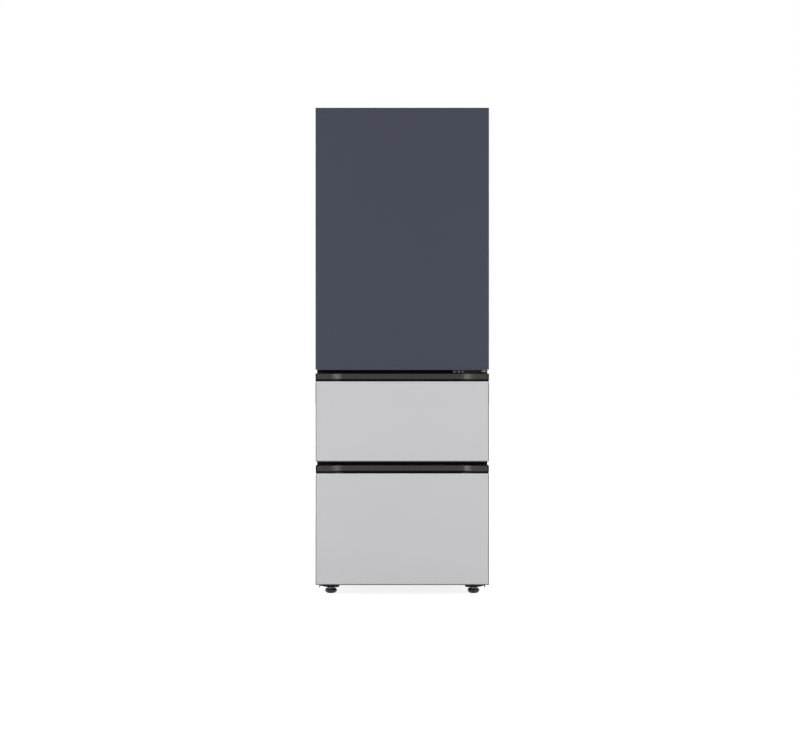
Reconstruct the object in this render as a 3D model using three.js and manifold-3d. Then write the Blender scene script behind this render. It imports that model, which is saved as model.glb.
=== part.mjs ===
// A stand-type kimchi refrigerator: one hinged upper door over two drawers on
// telescopic slides, with the machine room behind the lower drawer.
// Millimetres: +X runs across the front to the right, +Y to the back, +Z up.
// The origin is the middle of the footprint, on the floor.
import * as THREE from 'three';
import { mergeVertices } from 'three/addons/utils/BufferGeometryUtils.js';
import Module from 'manifold-3d';

const wasm = await Module();
wasm.setup();

// ---- Driving dimensions ------------------------------------------------------

const fit = 0.3; // clearance between pieces that seat on each other
const seat = 0.5; // how far a welded part reaches into the one that it is welded to
const over = 1; // how far a cutting tool stands past what it cuts

// Fronts, from the floor up
const frontWidth = 660;
const floorToFront = 45;
const lowerFrontHeight = 454;
const middleFrontHeight = 335;
const doorHeight = 996;
const frontGap = 15;
const frontThickness = 62;
const panelThickness = 4;
const edgeWidth = 2.5; // visible edge of the casing round each panel

// Cabinet
const overallDepth = 730;
const cabinetInset = 2; // each side, behind the edge of the fronts
const floorToBase = 36;
const doorRise = 18; // door top above the cabinet top
const sheet = 1;
const frameSheet = 1.5;
const linerWall = 2;
const sideWall = 55;
const topWall = 60;
const bottomWall = 64;
const backWall = 65;
const openingMargin = 28; // from the edge of a front to the compartment behind it
const spacerDepth = 12; // wall spacers on the back
const spacerWidth = 60;
const spacerHeight = 36;
const spacerOffset = 210; // middle of a spacer from the cabinet's middle
const spacerDrop = 60; // below the top of the back panel
const beadCount = 5; // stiffening beads pressed into the back panel
const beadPitch = 120;
const beadWidth = 26;
const beadRise = 3;
const beadSlope = 4; // run of a bead's sloped side
const beadLow = 90; // from the panel's bottom edge to the beads
const beadHigh = 190; // from the panel's top edge to the beads

// Machine room behind the lower compartment
const machineRoomDepth = 210;
const machineRoomHeight = 224;
const stepWall = 50; // insulation between machine room and lower compartment

// Gaskets
const gasketGap = 10;
const gasketWidth = 16;
const gasketLand = 6; // from the compartment's edge to the gasket
const gasketLip = 3;

// Upper compartment
const shelfCount = 3;
const shelfThickness = 5;
const shelfFront = 108; // from the cabinet's front face to the shelf
const shelfRear = 30; // from the back of the compartment to the shelf
const shelfNose = 14; // height of the shelf's front edge
const shelfStop = 10; // upstand at the back of a shelf
const ledgeWidth = 11;
const ledgeThickness = 8;
const shelfSideGap = 1.5; // between a shelf and the liner at each side
const shelfNoseDepth = 3; // how far the nose stands in front of the shelf
const shelfNoseWall = 4;
const shelfStopWall = 3;
const ledgeClear = 2; // between a ledge and the notch in the shelf's nose
const ductWidth = 240;
const ductDepth = 24;
const ductInset = 8; // below the ceiling and above the floor
const ductSlotHeight = 10;
const ductSlotWidth = 150;
const ductSlotRise = 40; // outlets above the middle of each level
const ductBevel = 14; // run of the duct's sloped sides
const ductEdge = 6; // depth of the duct's upright edge
const ductWall = 3;
const ductFoot = 20; // width of the sides that carry the duct
const consoleWidth = 300;
const consoleDepth = 120;
const consoleHeight = 18;
const consoleSetback = 53;

// Door
const hingeInset = 20; // hinge axis from the door's right edge
const hingeSetback = 31; // hinge axis from the door's face
const pinRadius = 5;
const pinLength = 24;
const armHalfWidth = 12;
const armThickness = 3.5;
const pinSeat = 1; // how far a pin is set into its arm
const hingeRise = 5; // middle hinge's arm above the drawer front under it
const flangeSheet = 2.2; // middle hinge's flange on the front frame
const flangeLength = 105;
const hingeScrews = [109, 91, 77]; // screws of the middle hinge, from its axis
const notchFrontWall = 7;
const notchDepth = 22;
const notchReach = 27;
const ridgeInset = 11; // between the door's ridge and the compartment wall
const ridgeWidth = 30;
const ridgeDepth = 50;
const ridgeCorner = 18;
const ridgeChamfer = 8;
const binCount = 3;
const binDepth = 100;
const binHeight = 95;
const binWall = 2.5;
const binCorner = 24;
const binFloor = 3;
const firstBinRise = 40; // from the ridge's lower inside edge
const bossSize = 10;
const gripPocketWidth = 450;
const gripPocketDepth = 22;
const gripPocketReach = 34;
const gripPocketSetback = 13; // behind the door's face
const gripPocketCorner = 14;
const gripPocketWall = 4;
const gripPocketCentre = -25;

// Drawer handle trim along the top of each drawer front
const trimHeight = 30.5;
const trimSetback = 2.5;
const trimEndFlat = 50; // flush length at each end
const trimCurveRun = 50; // length of the curve into the finger recess
const recessDepth = 24;
const grooveHeight = 8.5; // dark groove over the panel's top edge
const grooveDepth = 6;
const troughDepth = 16; // finger trough behind the panel's top edge
const troughFloor = 5;
const lipWall = 2.9;
const trimChamfer = 2;
const trimEndRadius = 4;

// Telescopic slides, one pair to a drawer
const slideLength = 440;
const slideSetback = 12;
const slideHeight = 46;
const slideWidth = 14;
const slideSheet = 2;
const slideClearance = 0.5;
const slideDrop = 95; // slide centre below the compartment's ceiling
const runnerRise = 26; // top flange of the runner above the slide's centre
const runnerFlange = 8;

// Rack and pinion that keeps both slides of the deep lower drawer level
const gearModule = 3;
const pinionTeeth = 12;
const pressureAngle = THREE.MathUtils.degToRad(20);
const rackAddendum = 2.1;
const pinionAddendum = 2.5;
const gearClearance = 0.5;
const backlash = 0.6;
const rackBase = 5;
const rackWidth = 8;
const shaftRadius = 5;
const shaftSetback = 20; // from the rear end of the slide
const bearingHalfWidth = 13;
const bearingClearance = 0.4;

// Baskets and containers
const plateauDepth = 18; // raised inner face of a drawer front
const plateauMargin = 48; // from the compartment wall
const plateauCorner = 16;
const plateauChamfer = 6;
const basketFrontGap = 3; // between the raised face and the basket
const basketWall = 2.5;
const basketDraft = 8;
const basketCorner = 22;
const basketClear = 12;
const rimThickness = 2.5;
const slotHalf = 60; // half the width of the slots in a basket's rear wall
const slotHeight = 8;
const middleBasketRear = 183; // from the back of the compartment
const lowerBasketRear = 10; // from the step of the lower compartment
const containerGap = 6;
const containerHeight = 236;
const containerCorner = 26;
const containerDraft = 7;
const lidHeight = 16;
const lidOverhang = 3;
const lidPanelDepth = 3;
const lidWell = 22; // from the body's side to the lid's sunk field

// Feet, rollers and brackets
const footInset = 52; // from the cabinet's side
const footSetback = 43; // behind the cabinet's front face
const padRadius = 21;
const padHeight = 19;
const padBaseRadius = 16;
const lobeCount = 9;
const lobeDepth = 1.6;
const studRadius = 5;
const bracketSheet = 3;
const bracketHalfWidth = 34;
const bracketDepth = 66;
const bracketSetback = 12; // behind the cabinet's front face
const bracketDrop = 6; // bracket plate under the base
const bracketFlare = 6; // how far the front flange reaches past the plate
const bracketRise = 2.5; // flange's lower edge at its outer end, above the plate
const bracketSag = 2; // how far the flange's lower edge hangs under the plate
const tabDrop = 12;
const tabDepth = [4, 14]; // of the tab's lower and upper edge
const rollerRadius = 15;
const rollerWidth = 20;
const rollerInset = 58; // from the cabinet's side
const rollerSetback = 40; // in front of the cabinet's back
const drainOffset = 90; // drain slots from the cabinet's middle
const drainLength = 50;
const drainWidth = 8;
const drainSetback = 20; // behind the machine room's front wall
const axleRadius = 4;
const forkSheet = 3;
const forkFoot = 16; // half the length of a fork ear at the pan
const forkTip = 8; // half the length of its lower end, and its drop below the axle

// Machinery
const compressorRadius = 74;
const compressorHeight = 150;
const compressorShare = 0.4575; // axis, as a share of the cabinet's half width
const compressorFoot = 14;
const compressorCrown = 26; // height of the curve under the shell
const seamWidth = 3; // welded seam round the shell
const railHalfWidth = 14;
const railReach = 20; // of a foot rail past the shell
const stubReach = 16;
const stubRadius = 4;
const grommetRadius = 11;
const coilRuns = 8;
const coilTubeRadius = 4;
const coilPitch = 22;
const coilLength = 150;
const coilShare = -0.655;
const coilPlateWidth = 34;
const coilPlate = 2;
const coilEnd = 14; // of the plates past the outer runs
const fanShare = -0.168;
const fanRadius = 54;
const fanHubRadius = 17;
const fanBlades = 5;
const fanDepth = 22;
const shroudSize = 130;
const shroudDepth = 26;
const shroudWall = 3;
const fanTipGap = 4;
const motorRadius = 22;
const motorLength = 30;
const motorShaftRadius = 2.5;
const armWidth = 8;
const armDepth = 6;
const armGap = 2; // between the shroud and the motor's arms
const louvreRows = 7;
const louvreX = 150; // middle of each column of louvres
const louvreLow = 36; // first louvre above the cover's bottom edge
const louvreWidth = 230;
const louvreHeight = 5;
const louvrePitch = 21;
const louvreHood = 8;
const hoodSheet = 1.5;
const hoodRoot = 4;
const glandRadius = 9;
const glandBore = 4;
const glandRise = 60; // gland above the bottom of the cover
const coverRim = 12;
const rimSheet = 1.5;

// ---- Places worked out from the sizes -----------------------------------------

const frontY = -overallDepth / 2;
const frontBackY = frontY + frontThickness;
const cabinetFrontY = frontBackY + gasketGap;
const cabinetBackY = overallDepth / 2 - spacerDepth;
const cabinetHalf = frontWidth / 2 - cabinetInset;
const innerHalf = cabinetHalf - sideWall;
const innerBackY = cabinetBackY - backWall;
const shellFrontY = cabinetFrontY + frameSheet + fit;
const shellBackY = cabinetBackY - sheet - fit;
const shellHalf = cabinetHalf - sheet - fit;

const lowerFrontTop = floorToFront + lowerFrontHeight;
const middleFrontBottom = lowerFrontTop + frontGap;
const middleFrontTop = middleFrontBottom + middleFrontHeight;
const doorBottom = middleFrontTop + frontGap;
const doorTop = doorBottom + doorHeight;
const cabinetTop = doorTop - doorRise;
const baseTop = floorToBase + frameSheet;
const foamTop = cabinetTop - sheet - fit;

const machineFrontY = cabinetBackY - machineRoomDepth;
const machineTop = floorToBase + machineRoomHeight;
const stepY = machineFrontY - stepWall;
const stepZ = machineTop + stepWall;

const lower = {
  name: 'lower',
  frontBottom: floorToFront,
  frontHeight: lowerFrontHeight,
  floor: floorToBase + bottomWall,
  ceiling: lowerFrontTop - openingMargin,
  basketBack: stepY - lowerBasketRear,
  geared: true,
};
const middle = {
  name: 'middle',
  frontBottom: middleFrontBottom,
  frontHeight: middleFrontHeight,
  floor: middleFrontBottom + openingMargin,
  ceiling: middleFrontTop - openingMargin,
  basketBack: innerBackY - middleBasketRear,
  geared: false,
};
const upper = {
  floor: doorBottom + openingMargin,
  ceiling: cabinetTop - topWall,
};
const compartments = [lower, middle, upper];

const footX = cabinetHalf - footInset;
const rollerX = cabinetHalf - rollerInset;
const compressorX = compressorShare * cabinetHalf;
const coilX = coilShare * cabinetHalf;
const fanX = fanShare * cabinetHalf;

const hingeX = frontWidth / 2 - hingeInset;
const hingeY = frontY + hingeSetback;

const slideFrontY = cabinetFrontY + slideSetback;
const slideRearY = slideFrontY + slideLength;
const pitchRadius = (gearModule * pinionTeeth) / 2;
const rackPitch = gearModule * Math.PI;
const rackPitchZ = slideHeight / 2 + rackBase + pinionAddendum + gearClearance;
const shaftZ = rackPitchZ + pitchRadius;
const shaftY = slideRearY - shaftSetback;
const channelX = innerHalf - fit;
const carriageX = channelX - slideSheet - slideClearance;
const runnerOuterX = carriageX - slideSheet - slideClearance;
const runnerInnerX = channelX - slideWidth - slideClearance;
const runnerFaceX = runnerInnerX - slideSheet;
const basketHalf = runnerFaceX - runnerFlange - fit;

// ---- Solids ---------------------------------------------------------------------

// The triangles of a closed geometry, without the ones that shrink to a line.
function soundTriangles(index) {
  const kept = [];
  for (let i = 0; i < index.length; i += 3) {
    const [a, b, c] = index.slice(i, i + 3);
    if (a !== b && b !== c && c !== a) kept.push(a, b, c);
  }
  return kept;
}

function signedVolume(positions, triangles) {
  const corners = [new THREE.Vector3(), new THREE.Vector3(), new THREE.Vector3()];
  let total = 0;
  for (let i = 0; i < triangles.length; i += 3) {
    corners.forEach((corner, k) => corner.fromArray(positions, 3 * triangles[i + k]));
    total += corners[0].dot(corners[1].clone().cross(corners[2])) / 6;
  }
  return total;
}

// A closed geometry as a solid that can be joined and cut.
function solid(geometry) {
  const bare = geometry.clone();
  bare.deleteAttribute('normal');
  bare.deleteAttribute('uv');
  const merged = mergeVertices(bare, 1e-4);
  const positions = merged.attributes.position.array;
  const triangles = soundTriangles(Array.from(merged.index.array));
  if (signedVolume(positions, triangles) < 0) triangles.reverse();
  return new wasm.Manifold(
    new wasm.Mesh({ numProp: 3, vertProperties: positions, triVerts: new Uint32Array(triangles) })
  );
}

function join(first, ...others) {
  return others.reduce((sum, other) => sum.add(other), first);
}

function cut(first, ...others) {
  return others.reduce((rest, other) => rest.subtract(other), first);
}

// A box from its [low, high] pair along each axis.
function box(x, y, z) {
  const geometry = new THREE.BoxGeometry(x[1] - x[0], y[1] - y[0], z[1] - z[0]);
  geometry.translate((x[0] + x[1]) / 2, (y[0] + y[1]) / 2, (z[0] + z[1]) / 2);
  return solid(geometry);
}

const both = (half) => [-half, half];
const grow = (range, by) => [range[0] - by, range[1] + by];

const axisX = new THREE.Vector3(1, 0, 0);
const axisY = new THREE.Vector3(0, 1, 0);
const axisZ = new THREE.Vector3(0, 0, 1);

// Extrusions of a flat shape: drawn in XY along Z, in YZ along X, and in XZ along Y.
// Two curve segments give each round corner four facets.
const cornerSegments = 2;

function alongZ(shape, z, options = {}) {
  const settings = { depth: z[1] - z[0], bevelEnabled: false, curveSegments: cornerSegments, ...options };
  return solid(new THREE.ExtrudeGeometry(shape, settings).translate(0, 0, z[0]));
}

function alongX(shape, x) {
  const settings = { depth: x[1] - x[0], bevelEnabled: false, curveSegments: cornerSegments };
  const geometry = new THREE.ExtrudeGeometry(shape, settings);
  geometry.applyMatrix4(new THREE.Matrix4().makeBasis(axisY, axisZ, axisX));
  return solid(geometry.translate(x[0], 0, 0));
}

function alongY(shape, y) {
  const settings = { depth: y[1] - y[0], bevelEnabled: false, curveSegments: cornerSegments };
  const geometry = new THREE.ExtrudeGeometry(shape, settings);
  geometry.applyMatrix4(new THREE.Matrix4().makeBasis(axisX, axisZ, axisY.clone().negate()));
  return solid(geometry.translate(0, y[1], 0));
}

function outline(points) {
  return new THREE.Shape(points.map(([u, v]) => new THREE.Vector2(u, v)));
}

function roundedRectangle(u, v, radius) {
  const shape = new THREE.Shape();
  const quarter = Math.PI / 2;
  shape.absarc(u[1] - radius, v[0] + radius, radius, -quarter, 0);
  shape.absarc(u[1] - radius, v[1] - radius, radius, 0, quarter);
  shape.absarc(u[0] + radius, v[1] - radius, radius, quarter, 2 * quarter);
  shape.absarc(u[0] + radius, v[0] + radius, radius, 2 * quarter, 3 * quarter);
  return shape;
}

// An upright box with round corners whose walls lean out by the draft on the way up.
function drafted(x, y, z, radius, draft) {
  const shape = roundedRectangle(x, y, radius);
  const settings = { depth: z[1] - z[0], bevelEnabled: false, curveSegments: cornerSegments };
  const geometry = new THREE.ExtrudeGeometry(shape, settings).translate(0, 0, z[0]);
  const position = geometry.attributes.position;
  const middleX = (x[0] + x[1]) / 2;
  const middleY = (y[0] + y[1]) / 2;
  for (let i = 0; i < position.count; i += 1) {
    const inward = (draft * (z[1] - position.getZ(i))) / (z[1] - z[0]);
    const shrinkX = 1 - inward / ((x[1] - x[0]) / 2);
    const shrinkY = 1 - inward / ((y[1] - y[0]) / 2);
    position.setX(i, middleX + (position.getX(i) - middleX) * shrinkX);
    position.setY(i, middleY + (position.getY(i) - middleY) * shrinkY);
  }
  return solid(geometry);
}

// A turned solid about +Z from [radius, height] points, with an optional lobed rim.
function turned(profile, segments = 24, lobes = null) {
  const points = profile.map(([radius, height]) => new THREE.Vector2(radius, height));
  const geometry = new THREE.LatheGeometry(points, segments).rotateX(Math.PI / 2);
  if (lobes) {
    const position = geometry.attributes.position;
    for (let i = 0; i < position.count; i += 1) {
      const x = position.getX(i);
      const y = position.getY(i);
      const radius = Math.hypot(x, y);
      const weight = Math.max(0, radius - lobes.from) / (lobes.to - lobes.from);
      const valley = (1 - Math.cos(lobes.count * Math.atan2(y, x))) / 2;
      const wave = 1 - (lobes.depth * weight * valley) / (radius || 1);
      position.setXY(i, x * wave, y * wave);
    }
  }
  return solid(geometry);
}

function cylinder(radius, z, segments = 16) {
  return turned([[0, z[0]], [radius, z[0]], [radius, z[1]], [0, z[1]]], segments);
}

// A solid turned about +Z, laid over so that it runs along +X or +Y.
const layAlongX = (body) => body.rotate([0, 90, 0]);
const layAlongY = (body) => body.rotate([-90, 0, 0]);

function mirrored(body, side) {
  return side < 0 ? body.mirror([1, 0, 0]) : body;
}

const sides = [['left', -1], ['right', 1]];

// ---- Materials --------------------------------------------------------------------

function finish(color, roughness, metalness) {
  return new THREE.MeshStandardMaterial({ color, roughness, metalness });
}

const navyPanel = finish(0x464a56, 0.55, 0.1);
const greyPanel = finish(0xc4c4c6, 0.5, 0.1);
const edgeGrey = finish(0x8a8b8d, 0.4, 0.6);
const charcoal = finish(0x3c3a38, 0.35, 0.3);
const caseGrey = finish(0xb9babc, 0.45, 0.4);
const blackFrame = finish(0x0a0b0d, 0.6, 0.1);
const linerWhite = finish(0xe9ebec, 0.4, 0);
const foamCream = finish(0xe3d9b8, 0.95, 0);
const zinc = finish(0x9fa3a6, 0.4, 0.9);
const slideSteel = finish(0xb5b8ba, 0.3, 0.95);
const gasketGrey = finish(0x5c5e60, 0.8, 0);
const blackPlastic = finish(0x1b1c1e, 0.6, 0);
const shelfGlass = finish(0xcfe3e0, 0.1, 0);
const clearPlastic = finish(0xdfe6e8, 0.2, 0);
const gearPlastic = finish(0xefeee8, 0.5, 0);
const basketWhite = finish(0xdcdfe0, 0.45, 0);
const containerGrey = finish(0xa8acae, 0.45, 0);
const compressorBlack = finish(0x17181a, 0.5, 0.3);
const copper = finish(0x9a5b3a, 0.35, 0.9);
const footBlack = finish(0x121213, 0.6, 0);

const refrigerator = new THREE.Group();

function geometryOf(body) {
  const mesh = body.getMesh();
  const geometry = new THREE.BufferGeometry();
  geometry.setAttribute('position', new THREE.BufferAttribute(mesh.vertProperties, 3));
  geometry.setIndex(new THREE.BufferAttribute(mesh.triVerts, 1));
  geometry.computeVertexNormals();
  return geometry;
}

function piece(parent, name, body, material) {
  const mesh = new THREE.Mesh(geometryOf(body), material.clone());
  mesh.name = name;
  parent.add(mesh);
}

function groupAt(x, y, z) {
  const group = new THREE.Group();
  group.position.set(x, y, z);
  refrigerator.add(group);
  return group;
}

// ---- Cabinet ------------------------------------------------------------------------

const cabinet = groupAt(0, 0, 0);

function outerCase() {
  const whole = box(both(cabinetHalf), [cabinetFrontY, cabinetBackY], [floorToBase, cabinetTop]);
  const inside = box(
    both(cabinetHalf - sheet),
    [cabinetFrontY - over, cabinetBackY + over],
    [floorToBase - over, cabinetTop - sheet]
  );
  return cut(whole, inside);
}

// The compartment's section from the side, grown by an allowance all round.
function compartmentSection(compartment, allowance) {
  const front = cabinetFrontY - over;
  const floor = compartment.floor - allowance;
  const ceiling = compartment.ceiling + allowance;
  const back = innerBackY + allowance;
  if (compartment !== lower) {
    return outline([[front, floor], [back, floor], [back, ceiling], [front, ceiling]]);
  }
  const step = stepY + allowance;
  const shelf = stepZ - allowance;
  return outline([
    [front, floor],
    [step, floor],
    [step, shelf],
    [back, shelf],
    [back, ceiling],
    [front, ceiling],
  ]);
}

function hollow(compartment, allowance) {
  return alongX(compartmentSection(compartment, allowance), both(innerHalf + allowance));
}

function insulation() {
  const block = box(both(shellHalf), [shellFrontY, shellBackY], [baseTop + fit, foamTop]);
  const machineRoom = box(
    both(cabinetHalf),
    [machineFrontY, cabinetBackY],
    [floorToBase, machineTop]
  );
  return cut(block, machineRoom, ...compartments.map((each) => hollow(each, linerWall + fit)));
}

function liner(compartment) {
  const trimmed = box(
    both(cabinetHalf),
    [cabinetFrontY - 2 * over, shellFrontY],
    [0, doorTop]
  );
  return cut(hollow(compartment, linerWall), hollow(compartment, 0), trimmed);
}

function shelfHeight(level) {
  return upper.floor + ((upper.ceiling - upper.floor) * level) / (shelfCount + 1);
}

const shelfFrontY = cabinetFrontY + shelfFront;
const shelfRearY = innerBackY - shelfRear;

function upperLiner() {
  const ledges = [];
  for (let level = 1; level <= shelfCount; level += 1) {
    const top = shelfHeight(level) - fit;
    for (const [, side] of sides) {
      const ledge = outline([
        [innerHalf + linerWall / 2, top],
        [innerHalf - ledgeWidth, top],
        [innerHalf - ledgeWidth, top - ledgeThickness / 2],
        [innerHalf + linerWall / 2, top - ledgeThickness],
      ]);
      ledges.push(mirrored(alongY(ledge, [shelfFrontY, shelfRearY]), side));
    }
  }
  return join(liner(upper), ...ledges);
}

function frontFrame() {
  const plate = box(both(shellHalf), [cabinetFrontY, cabinetFrontY + frameSheet], [baseTop + fit, foamTop]);
  const windows = compartments.map((each) =>
    box(both(innerHalf), [cabinetFrontY - over, shellFrontY], [each.floor, each.ceiling])
  );
  return cut(plate, ...windows);
}

// Stiffening beads of the back panel, pressed outwards.
function beads(z) {
  const y = [cabinetBackY - sheet / 2, cabinetBackY, cabinetBackY + beadRise];
  const half = beadWidth / 2;
  const section = outline([
    [-half, y[0]],
    [-half, y[1]],
    [-half + beadSlope, y[2]],
    [half - beadSlope, y[2]],
    [half, y[1]],
    [half, y[0]],
  ]);
  const bead = alongZ(section, [z[0] + beadLow, z[1] - beadHigh]);
  const row = [];
  for (let i = 0; i < beadCount; i += 1) {
    row.push(bead.translate([(i - (beadCount - 1) / 2) * beadPitch, 0, 0]));
  }
  return row;
}

function backPanel() {
  const z = [machineTop + fit, foamTop];
  const plate = box(both(shellHalf), [cabinetBackY - sheet, cabinetBackY], z);
  const spacerTop = z[1] - spacerDrop;
  const section = outline([
    [cabinetBackY - sheet / 2, spacerTop - spacerHeight - spacerDepth],
    [cabinetBackY + spacerDepth, spacerTop - spacerHeight],
    [cabinetBackY + spacerDepth, spacerTop],
    [cabinetBackY - sheet / 2, spacerTop + spacerDepth],
  ]);
  const spacer = alongX(section, [spacerOffset - spacerWidth / 2, spacerOffset + spacerWidth / 2]);
  return join(plate, ...beads(z), mirrored(spacer, -1), spacer);
}

// Leg bracket: a plate that holds the foot's stud, with a bent front flange and a tab.
function bracket(side) {
  const plateZ = floorToBase - bracketDrop;
  const topZ = floorToBase + seat;
  const low = footX - bracketHalfWidth;
  const high = footX + bracketHalfWidth;
  const flareX = high + bracketFlare;
  const front = cabinetFrontY + bracketSetback;
  const y = [front, front + bracketDepth];
  const plate = box([low, high], y, [plateZ, plateZ + bracketSheet]);
  const lowerEdge = [
    [low, plateZ],
    [low + 4 * bracketSag, plateZ - bracketSag],
    [high - 8 * bracketSag, plateZ - bracketSag / 2],
    [flareX, plateZ + bracketRise],
  ];
  const flange = alongY(outline([[low, topZ], ...lowerEdge, [flareX, topZ]]), [front, front + bracketSheet]);
  const wall = (x) => box([x, x + bracketSheet], y, [plateZ, topZ]);
  const tab = alongX(
    outline([
      [front, topZ],
      [front, floorToBase - tabDrop],
      [front + tabDepth[0], floorToBase - tabDrop],
      [front + tabDepth[1], topZ],
    ]),
    [flareX, flareX + bracketSheet]
  );
  const whole = join(plate, flange, wall(low), wall(high - bracketSheet), tab);
  const hole = cylinder(studRadius + fit, [0, floorToBase - fit]);
  return mirrored(cut(whole, hole.translate([footX, cabinetFrontY + footSetback, 0])), side);
}

// Two ears and the axle of a roller.
function fork(side) {
  const y = cabinetBackY - rollerSetback;
  const ear = alongX(
    outline([
      [y - forkFoot, floorToBase + seat],
      [y - forkTip, rollerRadius - forkTip],
      [y + forkTip, rollerRadius - forkTip],
      [y + forkFoot, floorToBase + seat],
    ]),
    [0, forkSheet]
  );
  const reach = rollerWidth / 2 + fit;
  const inner = ear.translate([rollerX - reach - forkSheet, 0, 0]);
  const outer = ear.translate([rollerX + reach, 0, 0]);
  const axle = layAlongX(cylinder(axleRadius, both(reach + forkSheet), 10));
  return mirrored(join(inner, outer, axle.translate([rollerX, y, rollerRadius])), side);
}

// Floor plate with drains, the machine room's side walls, leg brackets and roller forks.
function basePan() {
  const plate = box(both(shellHalf), [shellFrontY, shellBackY], [floorToBase, baseTop]);
  const cheek = box(
    [shellHalf - frameSheet, shellHalf],
    [machineFrontY + fit, shellBackY - coverRim],
    [floorToBase, machineTop - fit]
  );
  const pieces = sides.flatMap(([, side]) => [mirrored(cheek, side), bracket(side), fork(side)]);
  const drain = box(
    [drainOffset - drainLength / 2, drainOffset + drainLength / 2],
    [machineFrontY + drainSetback, machineFrontY + drainSetback + drainWidth],
    [0, baseTop + over]
  );
  return cut(join(plate, ...pieces), mirrored(drain, -1), drain);
}

// A shelf: glass with a deep front nose, notched over the ledges, and a rear stop.
function glassShelf() {
  const half = innerHalf - shelfSideGap;
  const top = shelfThickness;
  const noseY = shelfFrontY - shelfNoseDepth;
  const stopY = shelfRearY - shelfStopWall;
  const section = outline([
    [shelfFrontY, top],
    [noseY, top - shelfNoseDepth / 2],
    [noseY, top - shelfNose + shelfNoseDepth / 1.5],
    [shelfFrontY, top - shelfNose],
    [shelfFrontY + shelfNoseWall, top - shelfNose],
    [shelfFrontY + shelfNoseWall, 0],
    [shelfRearY, 0],
    [shelfRearY, top + shelfStop],
    [stopY, top + shelfStop],
    [stopY, top],
  ]);
  const notch = box(
    [innerHalf - ledgeWidth - ledgeClear, half + over],
    [shelfFrontY - fit, shelfFrontY + shelfNoseWall + over],
    [top - shelfNose - over, 0]
  );
  return cut(alongX(section, both(half)), mirrored(notch, -1), notch);
}

function ductCover() {
  const half = ductWidth / 2;
  const y = [innerBackY - ductDepth, innerBackY - fit];
  const z = [upper.floor + ductInset, upper.ceiling - ductInset];
  const section = outline([
    [-half, y[1]],
    [-half, y[1] - ductEdge],
    [-half + ductBevel, y[0]],
    [half - ductBevel, y[0]],
    [half, y[1] - ductEdge],
    [half, y[1]],
  ]);
  const inside = box(both(half - ductFoot), [y[0] + ductWall, y[1] + over], grow(z, -ductWall));
  const slots = [];
  for (let level = 1; level <= shelfCount + 1; level += 1) {
    const middleZ = (shelfHeight(level) + shelfHeight(level - 1)) / 2 + ductSlotRise;
    for (const offset of both(ductSlotHeight)) {
      const slotZ = grow([middleZ + offset, middleZ + offset], ductSlotHeight / 4);
      slots.push(box(both(ductSlotWidth / 2), [y[0] - over, y[0] + ductWall + over], slotZ));
    }
  }
  return cut(alongZ(section, z), inside, ...slots);
}

function controlHousing() {
  const y = [cabinetFrontY + consoleSetback, cabinetFrontY + consoleSetback + consoleDepth];
  const top = upper.ceiling - fit;
  const section = outline([
    [y[0], top],
    [y[0], top - consoleHeight / 3],
    [y[0] + consoleHeight, top - consoleHeight],
    [y[1], top - consoleHeight],
    [y[1], top],
  ]);
  return alongX(section, both(consoleWidth / 2));
}

piece(cabinet, 'outer_case', outerCase(), caseGrey);
piece(cabinet, 'insulation_foam', insulation(), foamCream);
piece(cabinet, 'upper_liner', upperLiner(), linerWhite);
piece(cabinet, 'middle_liner', liner(middle), linerWhite);
piece(cabinet, 'lower_liner', liner(lower), linerWhite);
piece(cabinet, 'front_frame', frontFrame(), blackFrame);
piece(cabinet, 'back_panel', backPanel(), zinc);
piece(cabinet, 'base_pan', basePan(), blackFrame);
for (let level = 1; level <= shelfCount; level += 1) {
  piece(groupAt(0, 0, shelfHeight(level)), `glass_shelf_${level}`, glassShelf(), shelfGlass);
}
piece(cabinet, 'air_duct_cover', ductCover(), linerWhite);
piece(cabinet, 'control_panel', controlHousing(), blackPlastic);

// ---- Hinges ---------------------------------------------------------------------------

function screwHead(radius, height) {
  const profile = [[0, 0], [radius, 0], [radius, height * 0.6], [radius * 0.7, height], [0, height]];
  return turned(profile, 8);
}

// A hinge arm in plan: a bar with a round end about the pin, running back to a given Y.
function armShape(rearY) {
  const shape = new THREE.Shape();
  shape.moveTo(hingeX - armHalfWidth, rearY);
  shape.lineTo(hingeX - armHalfWidth, hingeY);
  shape.absarc(hingeX, hingeY, armHalfWidth, Math.PI, 2 * Math.PI, false);
  shape.lineTo(hingeX + armHalfWidth, rearY);
  return shape;
}

const hingePlate = { x: [hingeX - 48, hingeX + 14], y: [cabinetFrontY + 3, cabinetFrontY + 78] };

// Plate on the cabinet's top with an arm over the door, held by three screws.
function topHinge() {
  const z = [cabinetTop + fit, cabinetTop + fit + armThickness];
  const plate = box(hingePlate.x, hingePlate.y, z);
  const arm = alongZ(armShape(hingePlate.y[0] + over), z);
  const pinTop = z[0] + pinSeat;
  const pin = cylinder(pinRadius, [pinTop - pinLength, pinTop]).translate([hingeX, hingeY, 0]);
  const edge = 14; // from a screw to the plate's edges
  const left = hingePlate.x[0] + edge;
  const rear = hingePlate.y[1] - edge;
  const places = [[left, hingePlate.y[0] + edge], [left, rear], [hingePlate.x[1] - edge, rear]];
  const screws = places.map(([x, y]) => screwHead(5, 3).translate([x, y, z[1] - seat / 2]));
  return join(plate, arm, pin, ...screws);
}

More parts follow.
